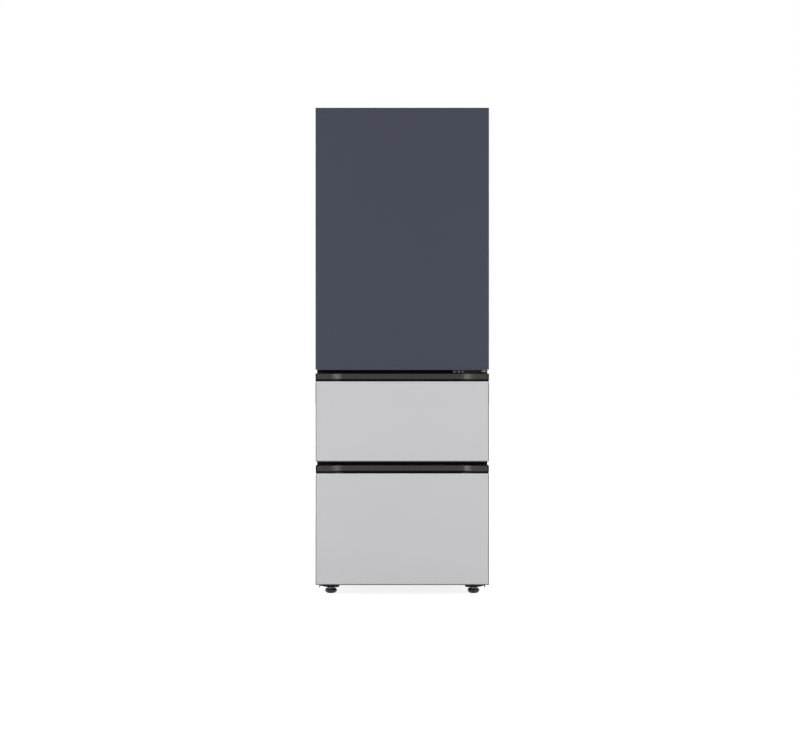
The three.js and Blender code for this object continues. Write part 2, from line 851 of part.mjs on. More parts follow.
function topHingeCover() {
  const wall = 2;
  const slope = 14; // run of the cover's sloped rear
  const x = [hingePlate.x[0] - 5, hingePlate.x[1] + 3];
  const y = [cabinetFrontY + 1, hingePlate.y[1] + 5];
  const z = [cabinetTop + fit, doorTop - wall];
  const section = outline([
    [y[0], z[0]],
    [y[0], z[1] - wall],
    [y[0] + wall, z[1]],
    [y[1] - slope, z[1]],
    [y[1], z[0] + 2.5 * wall],
    [y[1], z[0]],
  ]);
  const inner = outline([
    [y[0] + wall, z[0] - over],
    [y[0] + wall, z[1] - wall],
    [y[1] - slope - wall, z[1] - wall],
    [y[1] - wall, z[0] + 1.5 * wall],
    [y[1] - wall, z[0] - over],
  ]);
  const hollowed = cut(alongX(section, x), alongX(inner, grow(x, -wall)));
  const slot = box(
    grow([hingeX - armHalfWidth, hingeX + armHalfWidth], fit),
    [y[0] - over, y[0] + wall + over],
    [z[0] - over, z[0] + armThickness + fit]
  );
  return cut(hollowed, slot);
}

// Flange screwed to the front frame, with an arm in the gap under the door. Its pin
// reaches up into the door.
function middleHinge() {
  const armZ = middleFrontTop + hingeRise;
  const z = [armZ, armZ + armThickness];
  const flangeZ = [middleFrontTop + seat + 1, doorBottom - seat - 0.2];
  const flangeY = [cabinetFrontY - fit - flangeSheet, cabinetFrontY - fit];
  const flangeX = hingeX - 10;
  const flange = box([flangeX - flangeLength, flangeX], flangeY, flangeZ);
  const arm = alongZ(armShape(flangeY[1] - over), z);
  const web = box([hingeX - 64, hingeX], [flangeY[0] - 14, flangeY[1] - over], z);
  const washer = cylinder(pinRadius + 4, [z[1] - 0.2, doorBottom - fit]).translate([hingeX, hingeY, 0]);
  const pinZ = z[0] + pinSeat;
  const pin = cylinder(pinRadius, [pinZ, pinZ + 4 + pinLength]).translate([hingeX, hingeY, 0]);
  const screwZ = (flangeZ[0] + flangeZ[1]) / 2;
  const head = screwHead(4, 2.4).rotate([90, 0, 0]);
  const screws = hingeScrews.map((offset) => head.translate([hingeX - offset, flangeY[0] + 0.2, screwZ]));
  return join(flange, arm, web, washer, pin, ...screws);
}

piece(cabinet, 'top_hinge', topHinge(), zinc);
piece(cabinet, 'top_hinge_cover', topHingeCover(), blackPlastic);
piece(cabinet, 'middle_hinge', middleHinge(), zinc);

// ---- Machine room -----------------------------------------------------------------------

const machineFloor = baseTop + fit;
const machineMiddleY = (machineFrontY + cabinetBackY) / 2;

// Welded shell on two foot rails with grommets, a terminal box and three tube stubs.
function compressor() {
  const r = compressorRadius;
  const bottom = compressorFoot;
  const level = (share) => bottom + compressorHeight * share;
  const shell = turned(
    [
      [0, bottom],
      [r * 0.7, bottom],
      [r, bottom + compressorCrown],
      [r, level(0.45)],
      [r + seamWidth, level(0.47)],
      [r + seamWidth, level(0.53)],
      [r, level(0.55)],
      [r * 0.96, level(0.75)],
      [r * 0.7, level(0.95)],
      [r * 0.35, level(1)],
      [0, level(1)],
    ],
    20
  );
  const railY = r * 0.7;
  const rail = box(both(r + railReach), grow([railY, railY], railHalfWidth), [bottom - 3, bottom + 2]);
  const grommet = cylinder(grommetRadius, [0, bottom + 5], 10);
  const grommetX = r + railReach - grommetRadius - 1;
  const feet = [-1, 1].flatMap((side) => [
    rail.translate([0, (side - 1) * railY, 0]),
    grommet.translate([-grommetX, side * railY, 0]),
    grommet.translate([grommetX, side * railY, 0]),
  ]);
  const terminal = box([-r - railHalfWidth, -r + 12], both(28), [level(0.27), level(0.64)]);
  const tube = layAlongX(cylinder(stubRadius, [r - 8, r + stubReach], 8));
  const stub = (angle, share) => tube.rotate([0, 0, angle]).translate([0, 0, level(share)]);
  return join(shell, ...feet, terminal, stub(60, 0.4), stub(20, 0.7), stub(100, 0.7));
}

// A flat serpentine in the YZ plane: straight runs along Y that climb by the pitch, and
// half-circle bends. Each run is one step, each bend four.
class Serpentine extends THREE.Curve {
  constructor(runs, length, pitch) {
    super();
    this.runs = runs;
    this.length = length;
    this.pitch = pitch;
    this.bendSteps = 4;
    this.stepCount = runs + (runs - 1) * this.bendSteps;
  }

  // The steps are of unlike length, so they are taken as they come.
  getUtoTmapping(u) {
    return u;
  }

  getPoint(t) {
    const cell = 1 + this.bendSteps;
    const along = Math.min(t, 1) * this.stepCount;
    const run = Math.min(Math.floor(along / cell + 1e-9), this.runs - 1);
    const rest = along - run * cell;
    const direction = run % 2 === 0 ? 1 : -1;
    if (rest <= 1) {
      return new THREE.Vector3(0, direction * this.length * (rest - 0.5), run * this.pitch);
    }
    const angle = (Math.PI * (rest - 1)) / this.bendSteps;
    const radius = this.pitch / 2;
    return new THREE.Vector3(
      0,
      direction * (this.length / 2 + radius * Math.sin(angle)),
      (run + 0.5) * this.pitch - radius * Math.cos(angle)
    );
  }
}

// Serpentine tube through two upright plates, on a foot plate.
function condenserCoil() {
  const path = new Serpentine(coilRuns, coilLength, coilPitch);
  const section = new THREE.Shape();
  section.absarc(0, 0, coilTubeRadius, 0, 2 * Math.PI);
  const settings = { steps: path.stepCount, extrudePath: path, curveSegments: 4, bevelEnabled: false };
  const tube = solid(new THREE.ExtrudeGeometry(section, settings));
  const top = (coilRuns - 1) * coilPitch + coilEnd;
  const bottom = -coilTubeRadius - coilEnd;
  const x = both(coilPlateWidth / 2);
  const plates = both(0.3 * coilLength).map((y) => box(x, grow([y, y], coilPlate / 2), [bottom, top]));
  const foot = box(x, both(coilLength / 2), [bottom, bottom + coilPlate]);
  return join(tube, ...plates, foot).translate([0, 0, -bottom]);
}

const fanZ = shroudSize / 2 + fit;

// A blade along +X, drawn as a flat plate and then narrowed, cambered and twisted.
function fanBlade() {
  const chordWidth = 30;
  const root = fanHubRadius - seamWidth;
  const length = fanRadius - root;
  const blade = new THREE.BoxGeometry(length, 2, chordWidth, 3, 1, 2);
  blade.translate(root + length / 2, 0, 0);
  const position = blade.attributes.position;
  for (let i = 0; i < position.count; i += 1) {
    const radius = position.getX(i);
    const outward = radius / fanRadius;
    const chord = position.getZ(i) * (0.75 + 0.25 * outward);
    const pitchAngle = THREE.MathUtils.degToRad(52 - 24 * outward);
    const camber = 0.012 * (chord * chord - (chordWidth / 2) ** 2);
    const lift = position.getY(i) - camber;
    const tangential = chord * Math.cos(pitchAngle) - lift * Math.sin(pitchAngle);
    const axial = chord * Math.sin(pitchAngle) + lift * Math.cos(pitchAngle);
    position.setXYZ(i, radius, tangential, axial * (fanDepth / chordWidth));
  }
  return solid(blade);
}

// The fan turns about +Z here and is laid along Y when it is placed.
function fan() {
  const half = fanDepth / 2;
  const bore = motorShaftRadius + fit;
  const hub = turned(
    [
      [bore, -half],
      [fanHubRadius, -half],
      [fanHubRadius, half - 4],
      [fanHubRadius - 4, half],
      [bore, half],
      [bore, -half],
    ],
    16
  );
  const blades = [];
  for (let i = 0; i < fanBlades; i += 1) {
    blades.push(fanBlade().rotate([0, 0, (360 * i) / fanBlades]));
  }
  const tips = cylinder(fanRadius, both(fanDepth), 30);
  return cut(join(hub, ...blades).intersect(tips), cylinder(bore, both(fanDepth), 12));
}

// Square shroud with a round throat, and the motor on a cross of arms behind the fan.
function fanShroud() {
  const half = shroudSize / 2;
  const rear = -shroudDepth / 2;
  const plate = box(both(half), both(half), both(shroudDepth / 2));
  const throat = cylinder(fanRadius + fanTipGap, both(shroudDepth), 24);
  const pocket = box(both(half - shroudWall), both(half - shroudWall), [rear + shroudWall, shroudDepth]);
  const armsZ = [rear - armGap - armDepth, rear - armGap];
  const motor = cylinder(motorRadius, [rear - motorLength, armsZ[1]], 16);
  const shaft = cylinder(motorShaftRadius, [armsZ[1] - over, shroudDepth / 2 - 4], 12);
  const across = [
    box(both(half), both(armWidth / 2), armsZ),
    box(both(armWidth / 2), both(half), armsZ),
  ];
  const posts = [[1, 0], [-1, 0], [0, 1], [0, -1]].map(([x, y]) => {
    const middleX = x * (half - shroudWall);
    const middleY = y * (half - shroudWall);
    const spanX = grow([middleX, middleX], shroudWall);
    return box(spanX, grow([middleY, middleY], shroudWall), [armsZ[0], rear + over]);
  });
  return join(cut(plate, pocket, throat), motor, shaft, ...across, ...posts);
}

const glandZ = floorToBase + glandRise;

// Rear cover: a plate with a rim on three sides, two columns of hooded louvres and the
// hole for the gland.
function machineRoomCover() {
  const z = [floorToBase + fit, machineTop - fit];
  const y = [cabinetBackY - sheet, cabinetBackY];
  const rimY = cabinetBackY - coverRim;
  const plate = box(both(shellHalf), y, z);
  const rim = cut(
    box(both(shellHalf), [rimY, cabinetBackY], z),
    box(both(shellHalf - rimSheet), [rimY - over, cabinetBackY + over], [z[0] - over, z[1] - rimSheet]),
    box(both(shellHalf + over), [rimY - over, y[0]], [z[0] - over, baseTop + fit])
  );
  const openings = [];
  const hoods = [];
  for (const centre of both(louvreX)) {
    const x = grow([centre, centre], louvreWidth / 2);
    for (let row = 0; row < louvreRows; row += 1) {
      const low = z[0] + louvreLow + row * louvrePitch;
      const high = low + louvreHeight;
      openings.push(box(x, grow(y, over), [low, high]));
      const hood = outline([
        [y[0] + 0.2, high],
        [y[1] + louvreHood, low],
        [y[1] + louvreHood, low + hoodSheet],
        [y[0] + 0.2, high + hoodRoot],
      ]);
      hoods.push(alongX(hood, x));
    }
  }
  const glandHole = layAlongY(cylinder(glandRadius + fit, both(coverRim), 16));
  const louvred = join(cut(join(plate, rim), ...openings), ...hoods);
  return cut(louvred, glandHole.translate([0, cabinetBackY, glandZ]));
}

// Bush for the mains lead: a grooved ring snapped into the cover.
function cordGland() {
  const lip = glandRadius + 4;
  const ends = [-5, 9];
  const ring = turned(
    [
      [glandBore, ends[0]],
      [lip, ends[0]],
      [lip, -sheet - fit],
      [glandRadius, -sheet - fit],
      [glandRadius, fit],
      [lip, fit],
      [lip, 4],
      [glandRadius, ends[1]],
      [glandBore, ends[1]],
      [glandBore, ends[0]],
    ],
    16
  );
  return layAlongY(ring);
}

piece(groupAt(compressorX, machineMiddleY, machineFloor), 'compressor', compressor(), compressorBlack);
piece(groupAt(coilX, machineMiddleY, machineFloor), 'condenser_coil', condenserCoil(), copper);
const fanPlace = groupAt(fanX, machineMiddleY + 10, machineFloor + fanZ - fit);
piece(fanPlace, 'fan_shroud', layAlongY(fanShroud()), blackPlastic);
piece(fanPlace, 'condenser_fan', layAlongY(fan()), blackPlastic);
piece(cabinet, 'machine_room_cover', machineRoomCover(), zinc);
piece(groupAt(0, cabinetBackY, glandZ), 'cord_gland', cordGland(), blackPlastic);

// ---- Feet and rollers ---------------------------------------------------------------------

// Levelling foot: a lobed pad with its stud, which ends in the bracket.
function foot() {
  const top = floorToBase - bracketDrop - 4;
  const lobes = { from: padBaseRadius, to: padRadius, count: lobeCount, depth: lobeDepth };
  const profile = [
    [0, 0],
    [padBaseRadius, 0],
    [padRadius, 5],
    [padRadius + 2.5, padHeight * 0.5],
    [padRadius, padHeight - 4],
    [padRadius - 3, padHeight - 1],
    [studRadius + 6, padHeight],
    [studRadius + 4, top],
    [studRadius, top],
    [studRadius, floorToBase - fit],
    [0, floorToBase - fit],
  ];
  return turned(profile, 3 * lobeCount, lobes);
}

function roller() {
  const half = rollerWidth / 2;
  const bore = axleRadius + fit;
  const chamfer = 2;
  const wheel = turned(
    [
      [bore, -half],
      [rollerRadius - chamfer, -half],
      [rollerRadius, -half + chamfer],
      [rollerRadius, half - chamfer],
      [rollerRadius - chamfer, half],
      [bore, half],
      [bore, -half],
    ],
    20
  );
  return layAlongX(wheel);
}

for (const [sideName, side] of sides) {
  piece(groupAt(side * footX, cabinetFrontY + footSetback, 0), `foot_${sideName}`, foot(), footBlack);
  const rollerPlace = groupAt(side * rollerX, cabinetBackY - rollerSetback, rollerRadius);
  piece(rollerPlace, `roller_${sideName}`, roller(), footBlack);
}

// ---- Upper door ------------------------------------------------------------------------------

const door = groupAt(0, 0, 0);
const frontHalf = frontWidth / 2;
const coreHalf = frontHalf - edgeWidth - fit;
const doorZ = [doorBottom, doorTop];
const gripX = grow([gripPocketCentre, gripPocketCentre], gripPocketWidth / 2);
const gripY = [frontY + gripPocketSetback, frontY + gripPocketSetback + gripPocketReach];

const hingeNotch = box(
  [hingeX - notchReach, frontHalf + over],
  [frontY + notchFrontWall, frontBackY + over],
  [doorTop - notchDepth, doorTop + over]
);

function pinHoles() {
  const radius = pinRadius + fit;
  return join(
    cylinder(radius, [doorTop - notchDepth - pinLength - over, doorTop]),
    cylinder(radius, [doorBottom - over, doorBottom + pinLength + hingeRise + over])
  ).translate([hingeX, hingeY, 0]);
}

function doorCasing() {
  const outer = box(both(frontHalf), [frontY, frontBackY], doorZ);
  const inner = box(both(frontHalf - edgeWidth), [frontY - over, frontBackY + over], grow(doorZ, -edgeWidth));
  const ring = cut(outer, inner);
  const insert = box(
    grow(gripX, gripPocketWall),
    grow(gripY, gripPocketWall),
    [doorBottom, doorBottom + gripPocketDepth + gripPocketWall]
  );
  const pocketZ = [doorBottom - gripPocketDepth, doorBottom + gripPocketDepth];
  const pocket = alongY(roundedRectangle(gripX, pocketZ, gripPocketCorner), gripY);
  return cut(join(ring, insert), pocket, hingeNotch, pinHoles());
}

function panel(z) {
  return box(both(coreHalf), [frontY, frontY + panelThickness], grow(z, -edgeWidth - fit));
}

// Foam block of the door, with room for the grip insert.
function doorFoam() {
  const block = box(
    both(coreHalf),
    [frontY + panelThickness + fit, frontBackY],
    grow(doorZ, -edgeWidth - fit)
  );
  const grip = box(
    grow(gripX, gripPocketWall + fit),
    grow(gripY, gripPocketWall + fit),
    [doorBottom, doorBottom + gripPocketDepth + gripPocketWall + fit]
  );
  return cut(block, grip);
}

const ridgeHalf = innerHalf - ridgeInset;
const ridgeZ = [upper.floor + ridgeInset, upper.ceiling - ridgeInset];
const binHalf = ridgeHalf - ridgeWidth - fit;
const binZone = ridgeZ[1] - ridgeZ[0] - 2 * ridgeWidth;

function binZ(level) {
  return ridgeZ[0] + ridgeWidth + firstBinRise + ((binZone - firstBinRise) * level) / binCount;
}

// A raised field on the inner side of a front, with a chamfered edge.
function raisedField(shape, depth, chamfer) {
  const geometry = new THREE.ExtrudeGeometry(shape, {
    depth: depth - chamfer,
    bevelThickness: chamfer,
    bevelSize: chamfer,
    bevelOffset: -chamfer,
    bevelSegments: 1,
    curveSegments: cornerSegments,
  });
  geometry.applyMatrix4(new THREE.Matrix4().makeBasis(axisX, axisZ, axisY.clone().negate()));
  const field = solid(geometry.translate(0, frontBackY + depth - chamfer, 0));
  const root = frontBackY - linerWall / 2;
  return cut(field, box(both(frontHalf), [frontY, root], [-over, doorTop]));
}

// Inner panel of the door with the foam behind it: a ridge round the bins, and bosses
// that the bins hang on.
function doorLiner() {
  const bank = roundedRectangle(both(ridgeHalf), ridgeZ, ridgeCorner);
  const valley = alongY(
    roundedRectangle(both(ridgeHalf - ridgeWidth), grow(ridgeZ, -ridgeWidth), ridgeCorner - 4),
    [frontBackY - linerWall / 2, frontBackY + ridgeDepth + over]
  );
  const ridge = cut(raisedField(bank, ridgeDepth, ridgeChamfer), valley);
  const bosses = [];
  for (let level = 0; level < binCount; level += 1) {
    for (const [, side] of sides) {
      const x = [binHalf + fit - bossSize, binHalf + fit + over];
      const y = [frontBackY + bossSize, frontBackY + ridgeDepth - bossSize];
      const boss = box(x, y, [binZ(level) - fit - bossSize, binZ(level) - fit]);
      bosses.push(mirrored(boss, side));
    }
  }
  return cut(join(doorFoam(), ridge, ...bosses), hingeNotch, pinHoles());
}

// Magnetic gasket: a flat foot on the inner panel and a narrower bulb.
function gasket(floor, ceiling) {
  const innerX = innerHalf + gasketLand;
  const outerX = innerX + gasketWidth;
  const outerZ = [floor - gasketLand - gasketWidth, ceiling + gasketLand + gasketWidth];
  const innerZ = [floor - gasketLand, ceiling + gasketLand];
  const lipY = frontBackY + fit + gasketLip;
  const base = cut(
    box(both(outerX), [frontBackY + fit, lipY], outerZ),
    box(both(innerX), [frontBackY, lipY + over], innerZ)
  );
  const bulb = cut(
    box(both(outerX - gasketLip), [lipY - over, cabinetFrontY - fit], grow(outerZ, -gasketLip)),
    box(both(innerX + 2), [lipY - 2 * over, cabinetFrontY], grow(innerZ, 2))
  );
  return join(base, bulb);
}

// A door bin: open tray with round rear corners and a lower front lip.
function bin() {
  const y = [frontBackY + fit, frontBackY + binDepth];
  const plan = (wall) => {
    const half = binHalf - wall;
    const shape = new THREE.Shape();
    const r = binCorner - wall;
    shape.moveTo(-half, y[0] + wall);
    shape.lineTo(half, y[0] + wall);
    shape.absarc(half - r, y[1] - wall - r, r, 0, Math.PI / 2);
    shape.absarc(-half + r, y[1] - wall - r, r, Math.PI / 2, Math.PI);
    return shape;
  };
  const outer = alongZ(plan(0), [0, binHeight]);
  const inner = alongZ(plan(binWall), [binFloor, binHeight + over]);
  const backCut = box(both(binHalf - binCorner), grow([y[0], y[0] + binWall], over), [
    binHeight * 0.6,
    binHeight + over,
  ]);
  return cut(outer, inner, backCut);
}

piece(door, 'door_casing', doorCasing(), edgeGrey);
piece(door, 'door_panel', panel(doorZ), navyPanel);
piece(door, 'door_liner', doorLiner(), linerWhite);
piece(door, 'door_gasket', gasket(upper.floor, upper.ceiling), gasketGrey);
for (let level = 0; level < binCount; level += 1) {
  piece(groupAt(0, 0, binZ(level)), `door_bin_${level + 1}`, bin(), clearPlastic);
}

// ---- Drawer fronts -----------------------------------------------------------------------------

// Plan of the handle trim: its face is flush at the ends and runs through an S-curve into
// the long finger recess.
function trimPlan() {
  const faceY = frontY + trimSetback;
  const half = frontHalf;
  const start = half - trimEndFlat;
  const end = start - trimCurveRun;
  const back = frontBackY - linerWall - fit;
  const curve = [];
  const steps = 8;
  for (let i = 0; i <= steps; i += 1) {
    const t = i / steps;
    const ease = (1 - Math.cos(Math.PI * t)) / 2;
    curve.push([start + (end - start) * t, faceY + recessDepth * ease]);
  }
  const shape = new THREE.Shape();
  shape.moveTo(-half, back);
  shape.lineTo(-half, faceY + trimEndRadius);
  shape.absarc(-half + trimEndRadius, faceY + trimEndRadius, trimEndRadius, Math.PI, 1.5 * Math.PI);
  curve.forEach(([x, y]) => shape.lineTo(-x, y));
  curve.reverse().forEach(([x, y]) => shape.lineTo(x, y));
  shape.absarc(half - trimEndRadius, faceY + trimEndRadius, trimEndRadius, 1.5 * Math.PI, 2 * Math.PI);
  shape.lineTo(half, back);
  return shape;
}

function handleTrim(height) {
  const panelTop = height - trimHeight;
  const bottom = panelTop - troughDepth - troughFloor;
  const wallY = frontY + trimSetback + recessDepth;
  const back = frontBackY - linerWall - fit;
  const band = alongZ(trimPlan(), [panelTop - 3 * trimChamfer, height - trimChamfer], {
    bevelEnabled: true,
    bevelThickness: trimChamfer,
    bevelSize: trimChamfer,
    bevelOffset: -trimChamfer,
    bevelSegments: 1,
  });
  const below = box(both(frontHalf + over), [frontY, frontBackY], [panelTop - 20, panelTop + fit]);
  const lipY = frontY + panelThickness + fit;
  const body = box(both(coreHalf), [lipY, back], [bottom, panelTop + 2 * fit]);
  const pocketHalf = frontHalf - trimEndFlat - trimCurveRun;
  const pocketZ = [bottom + troughFloor, panelTop + grooveHeight];
  const trough = box(both(pocketHalf), [lipY + lipWall, wallY], pocketZ);
  const undercut = box(both(pocketHalf + grooveHeight), [wallY - over, wallY + grooveDepth], pocketZ);
  const endGroove = box(
    both(frontHalf + over),
    [frontY, lipY + grooveDepth],
    [panelTop + 2 * fit, panelTop + grooveHeight]
  );
  return cut(join(cut(band, below), body), trough, undercut, endGroove);
}

function drawerCasing(height) {
  const top = height - trimHeight;
  const outer = box(both(frontHalf), [frontY, frontBackY], [0, top]);
  const half = frontHalf - edgeWidth;
  const inner = box(both(half), [frontY - over, frontBackY + over], [edgeWidth, top - edgeWidth]);
  const behindLip = box(
    both(half),
    [frontY + panelThickness, frontBackY + over],
    [top - edgeWidth - over, top + over]
  );
  return cut(outer, inner, behindLip);
}

// Inner panel of a drawer front with the foam behind it, and its raised inner face.
function drawerLiner(compartment) {
  const height = compartment.frontHeight;
  const low = edgeWidth + fit;
  const foamHeight = height - trimHeight - troughDepth - troughFloor - fit;
  const foam = box(both(coreHalf), [frontY + panelThickness + fit, frontBackY], [low, foamHeight]);
  const plate = box(both(coreHalf), [frontBackY - linerWall, frontBackY], [low, height]);
  const half = innerHalf - plateauMargin;
  const z = [
    compartment.floor - compartment.frontBottom + ridgeInset,
    compartment.ceiling - compartment.frontBottom - ridgeInset,
  ];
  const shape = roundedRectangle(both(half), z, plateauCorner);
  return join(foam, plate, raisedField(shape, plateauDepth, plateauChamfer));
}

// ---- Slides -----------------------------------------------------------------------------------

// Slide sections are drawn for the right-hand side, with Z from the slide's centre.
function channelSection(outerX, innerX, halfHeight) {
  const t = slideSheet;
  return outline([
    [outerX, -halfHeight],
    [outerX, halfHeight],
    [innerX, halfHeight],
    [innerX, halfHeight - t],
    [outerX - t, halfHeight - t],
    [outerX - t, -halfHeight + t],
    [innerX, -halfHeight + t],
    [innerX, -halfHeight],
  ]);
}

// Rack teeth in the YZ plane, with a tooth space under the pinion's lowest tooth.
function rackSection() {
  const base = slideHeight / 2 - 0.5;
  const root = rackPitchZ - pinionAddendum - gearClearance;
  const tip = rackPitchZ + rackAddendum;
  const halfAtPitch = rackPitch / 4 - backlash / 2;
  const halfWidthAt = (z) => halfAtPitch - (z - rackPitchZ) * Math.tan(pressureAngle);
  const points = [[slideFrontY, base], [slideFrontY, root]];
  const first = Math.ceil((slideFrontY + rackPitch - shaftY) / rackPitch - 0.5);
  for (let k = first; ; k += 1) {
    const centre = shaftY + (k + 0.5) * rackPitch;
    if (centre + rackPitch / 2 > slideRearY) break;
    points.push([centre - halfWidthAt(root), root]);
    points.push([centre - halfWidthAt(tip), tip]);
    points.push([centre + halfWidthAt(tip), tip]);
    points.push([centre + halfWidthAt(root), root]);
  }
  points.push([slideRearY, root], [slideRearY, base]);
  return outline(points);
}

function fixedSlide(geared) {
  const section = channelSection(channelX, channelX - slideWidth, slideHeight / 2);
  const channel = alongY(section, [slideFrontY, slideRearY]);
  if (!geared) return channel;
  const rack = alongX(rackSection(), [channelX - rackWidth, channelX]);
  return join(channel, rack);
}

function carriage() {
  const half = slideHeight / 2 - slideSheet - slideClearance;
  const section = channelSection(carriageX, channelX - slideWidth + 1, half);
  return alongY(section, [slideFrontY, slideRearY]);
}

// The drawer's own member: a channel that opens to the wall, a top flange for the basket
// and a front bracket on the drawer front. A geared one has the shaft's bearing plate too.
function runner(compartment) {
  const half = slideHeight / 2 - 2 * slideSheet - 2 * slideClearance;
  const t = slideSheet;
  const section = outline([
    [runnerOuterX, -half],
    [runnerOuterX, -half + t],
    [runnerInnerX, -half + t],
    [runnerInnerX, half - t],
    [runnerOuterX, half - t],
    [runnerOuterX, half],
    [runnerInnerX, half],
    [runnerInnerX, runnerRise],
    [runnerFaceX, runnerRise],
    [runnerFaceX, -half],
  ]);
  const channel = alongY(section, [slideFrontY, slideRearY]);
  const frontEndY = frontBackY + fit;
  const reach = box([runnerFaceX, runnerInnerX], [frontEndY, slideFrontY + 1], [-half, half]);
  const bracketX = innerHalf - plateauMargin + 4;
  const frontBracket = box([bracketX, runnerInnerX], [frontEndY, frontEndY + 3], [-half, half]);
  const flange = box(
    [runnerFaceX - runnerFlange, runnerInnerX],
    [slideFrontY, compartment.basketBack],
    [runnerRise - t, runnerRise]
  );
  const member = join(channel, reach, frontBracket, flange);
  if (!compartment.geared) return member;
  const side = bearingHalfWidth;
  const shoulder = shaftRadius + 3;
  const plate = alongX(
    outline([
      [shaftY - side - shoulder, runnerRise - over],
      [shaftY - side, shaftZ + shoulder],
      [shaftY - side / 2, shaftZ + side],
      [shaftY + side / 2, shaftZ + side],
      [shaftY + side, shaftZ + shoulder],
      [slideRearY, runnerRise - over],
    ]),
    [runnerFaceX, runnerInnerX]
  );
  const bore = layAlongX(cylinder(shaftRadius + bearingClearance, both(innerHalf), 12));
  return cut(join(member, plate), bore.translate([0, shaftY, shaftZ]));
}

const involute = (angle) => Math.tan(angle) - angle;

// Pinion outline about the origin, with one tooth pointing straight down.
function pinionSection() {
  const base = pitchRadius * Math.cos(pressureAngle);
  const tip = pitchRadius + pinionAddendum;
  const root = pitchRadius - rackAddendum - gearClearance;
  const atPitch = (rackPitch / 2 - backlash) / (2 * pitchRadius);
  const atBase = atPitch + involute(pressureAngle);
  const atTip = atBase - involute(Math.acos(base / tip));
  const points = [];
  for (let tooth = 0; tooth < pinionTeeth; tooth += 1) {
    const centre = -Math.PI / 2 + (2 * Math.PI * tooth) / pinionTeeth;
    const flank = [[root, atBase], [tip, atTip]];
    const polar = (radius, angle) => [radius * Math.cos(centre + angle), radius * Math.sin(centre + angle)];
    flank.forEach(([radius, half]) => points.push(polar(radius, -half)));
    flank.reverse().forEach(([radius, half]) => points.push(polar(radius, half)));
  }
  return outline(points);
}

function syncShaft() {
  const x = [channelX - rackWidth + slideClearance, channelX - slideClearance];
  const rod = layAlongX(cylinder(shaftRadius, both(x[1]), 12));
  const pinion = alongX(pinionSection(), x);
  const collar = layAlongX(cylinder(shaftRadius + 3, [runnerInnerX + fit, x[0] + over], 12));
  return join(rod, pinion, collar, mirrored(pinion, -1), mirrored(collar, -1));
}

function basket(compartment, slideZ) {
  const floorZ = compartment.floor + basketClear - slideZ;
  const x = both(basketHalf);
  const y = [frontBackY + plateauDepth + basketFrontGap, compartment.basketBack];
  const rim = [runnerRise + fit, runnerRise + fit + rimThickness];
  const outer = drafted(x, y, [floorZ, rim[1]], basketCorner, basketDraft);
  const inner = drafted(
    grow(x, -basketWall),
    grow(y, -basketWall),
    [floorZ + basketWall, rim[1] + over],
    basketCorner - basketWall,
    basketDraft
  );
  const ledge = alongZ(roundedRectangle([-runnerInnerX, runnerInnerX], y, basketCorner), rim);
  const slots = [0.35, 0.5, 0.65].map((share) => {
    const z = floorZ + (rim[0] - floorZ) * share;
    const shape = roundedRectangle(both(slotHalf), [z, z + slotHeight], 3);
    return alongY(shape, [y[1] - 20, y[1] + over]);
  });
  return cut(join(outer, ledge), inner, ...slots);
}

// A closed kimchi container: tapered body with a stepped lid.
function container(x, y, z0) {
  const bodyTop = z0 + containerHeight;
  const body = drafted(x, y, [z0, bodyTop + over], containerCorner, containerDraft);
  const lidPlan = roundedRectangle(grow(x, lidOverhang), grow(y, lidOverhang), containerCorner + lidOverhang);
  const lid = alongZ(lidPlan, [bodyTop, bodyTop + lidHeight]);
  const well = alongZ(
    roundedRectangle(grow(x, -lidWell), grow(y, -lidWell), containerCorner),
    [bodyTop + lidHeight - lidPanelDepth, bodyTop + lidHeight + over]
  );
  return join(body, cut(lid, well));
}

function drawer(compartment) {
  const { name, frontHeight: height } = compartment;
  const slideZ = compartment.ceiling - slideDrop;
  const front = groupAt(0, 0, compartment.frontBottom);
  const slides = groupAt(0, 0, slideZ);
  piece(front, `${name}_casing`, drawerCasing(height), edgeGrey);
  piece(front, `${name}_panel`, panel([0, height - trimHeight]), greyPanel);
  piece(front, `${name}_front_liner`, drawerLiner(compartment), linerWhite);
  piece(front, `${name}_handle_trim`, handleTrim(height), charcoal);
  piece(
    front,
    `${name}_gasket`,
    gasket(compartment.floor - compartment.frontBottom, compartment.ceiling - compartment.frontBottom),
    gasketGrey
  );
  for (const [sideName, side] of sides) {
    piece(slides, `${name}_slide_${sideName}`, mirrored(fixedSlide(compartment.geared), side), slideSteel);
    piece(slides, `${name}_carriage_${sideName}`, mirrored(carriage(), side), slideSteel);
    piece(slides, `${name}_runner_${sideName}`, mirrored(runner(compartment), side), slideSteel);
  }
  if (compartment.geared) {
    const shaftPlace = groupAt(0, shaftY, slideZ + shaftZ);
    piece(shaftPlace, `${name}_sync_shaft`, syncShaft(), gearPlastic);
  }
  piece(slides, `${name}_basket`, basket(compartment, slideZ), basketWhite);
}

drawer(middle);
drawer(lower);

const containerFloor = lower.floor + basketClear + basketWall + fit;
const containerY = [
  frontBackY + plateauDepth + basketFrontGap + basketWall + basketDraft + containerGap,
  lower.basketBack - basketWall - basketDraft - containerGap,
];
for (const [sideName, side] of sides) {
  const high = basketHalf - basketWall - basketDraft - containerGap;
  const body = container([containerGap, high], containerY, containerFloor);
  piece(refrigerator, `container_${sideName}`, mirrored(body, side), containerGrey);
}

export default refrigerator;
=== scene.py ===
"""The looks of a stand-type kimchi refrigerator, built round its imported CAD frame.

Sizes are in millimetres, in the frame of the CAD model: +X to the right across the
front, +Y to the back, +Z up. Pieces are turned into metres when they leave the bench.
"""

import logging
import math
from dataclasses import dataclass
from enum import Enum
from typing import Iterable, Optional, Sequence

import bmesh
import bpy
from mathutils import Matrix, Vector


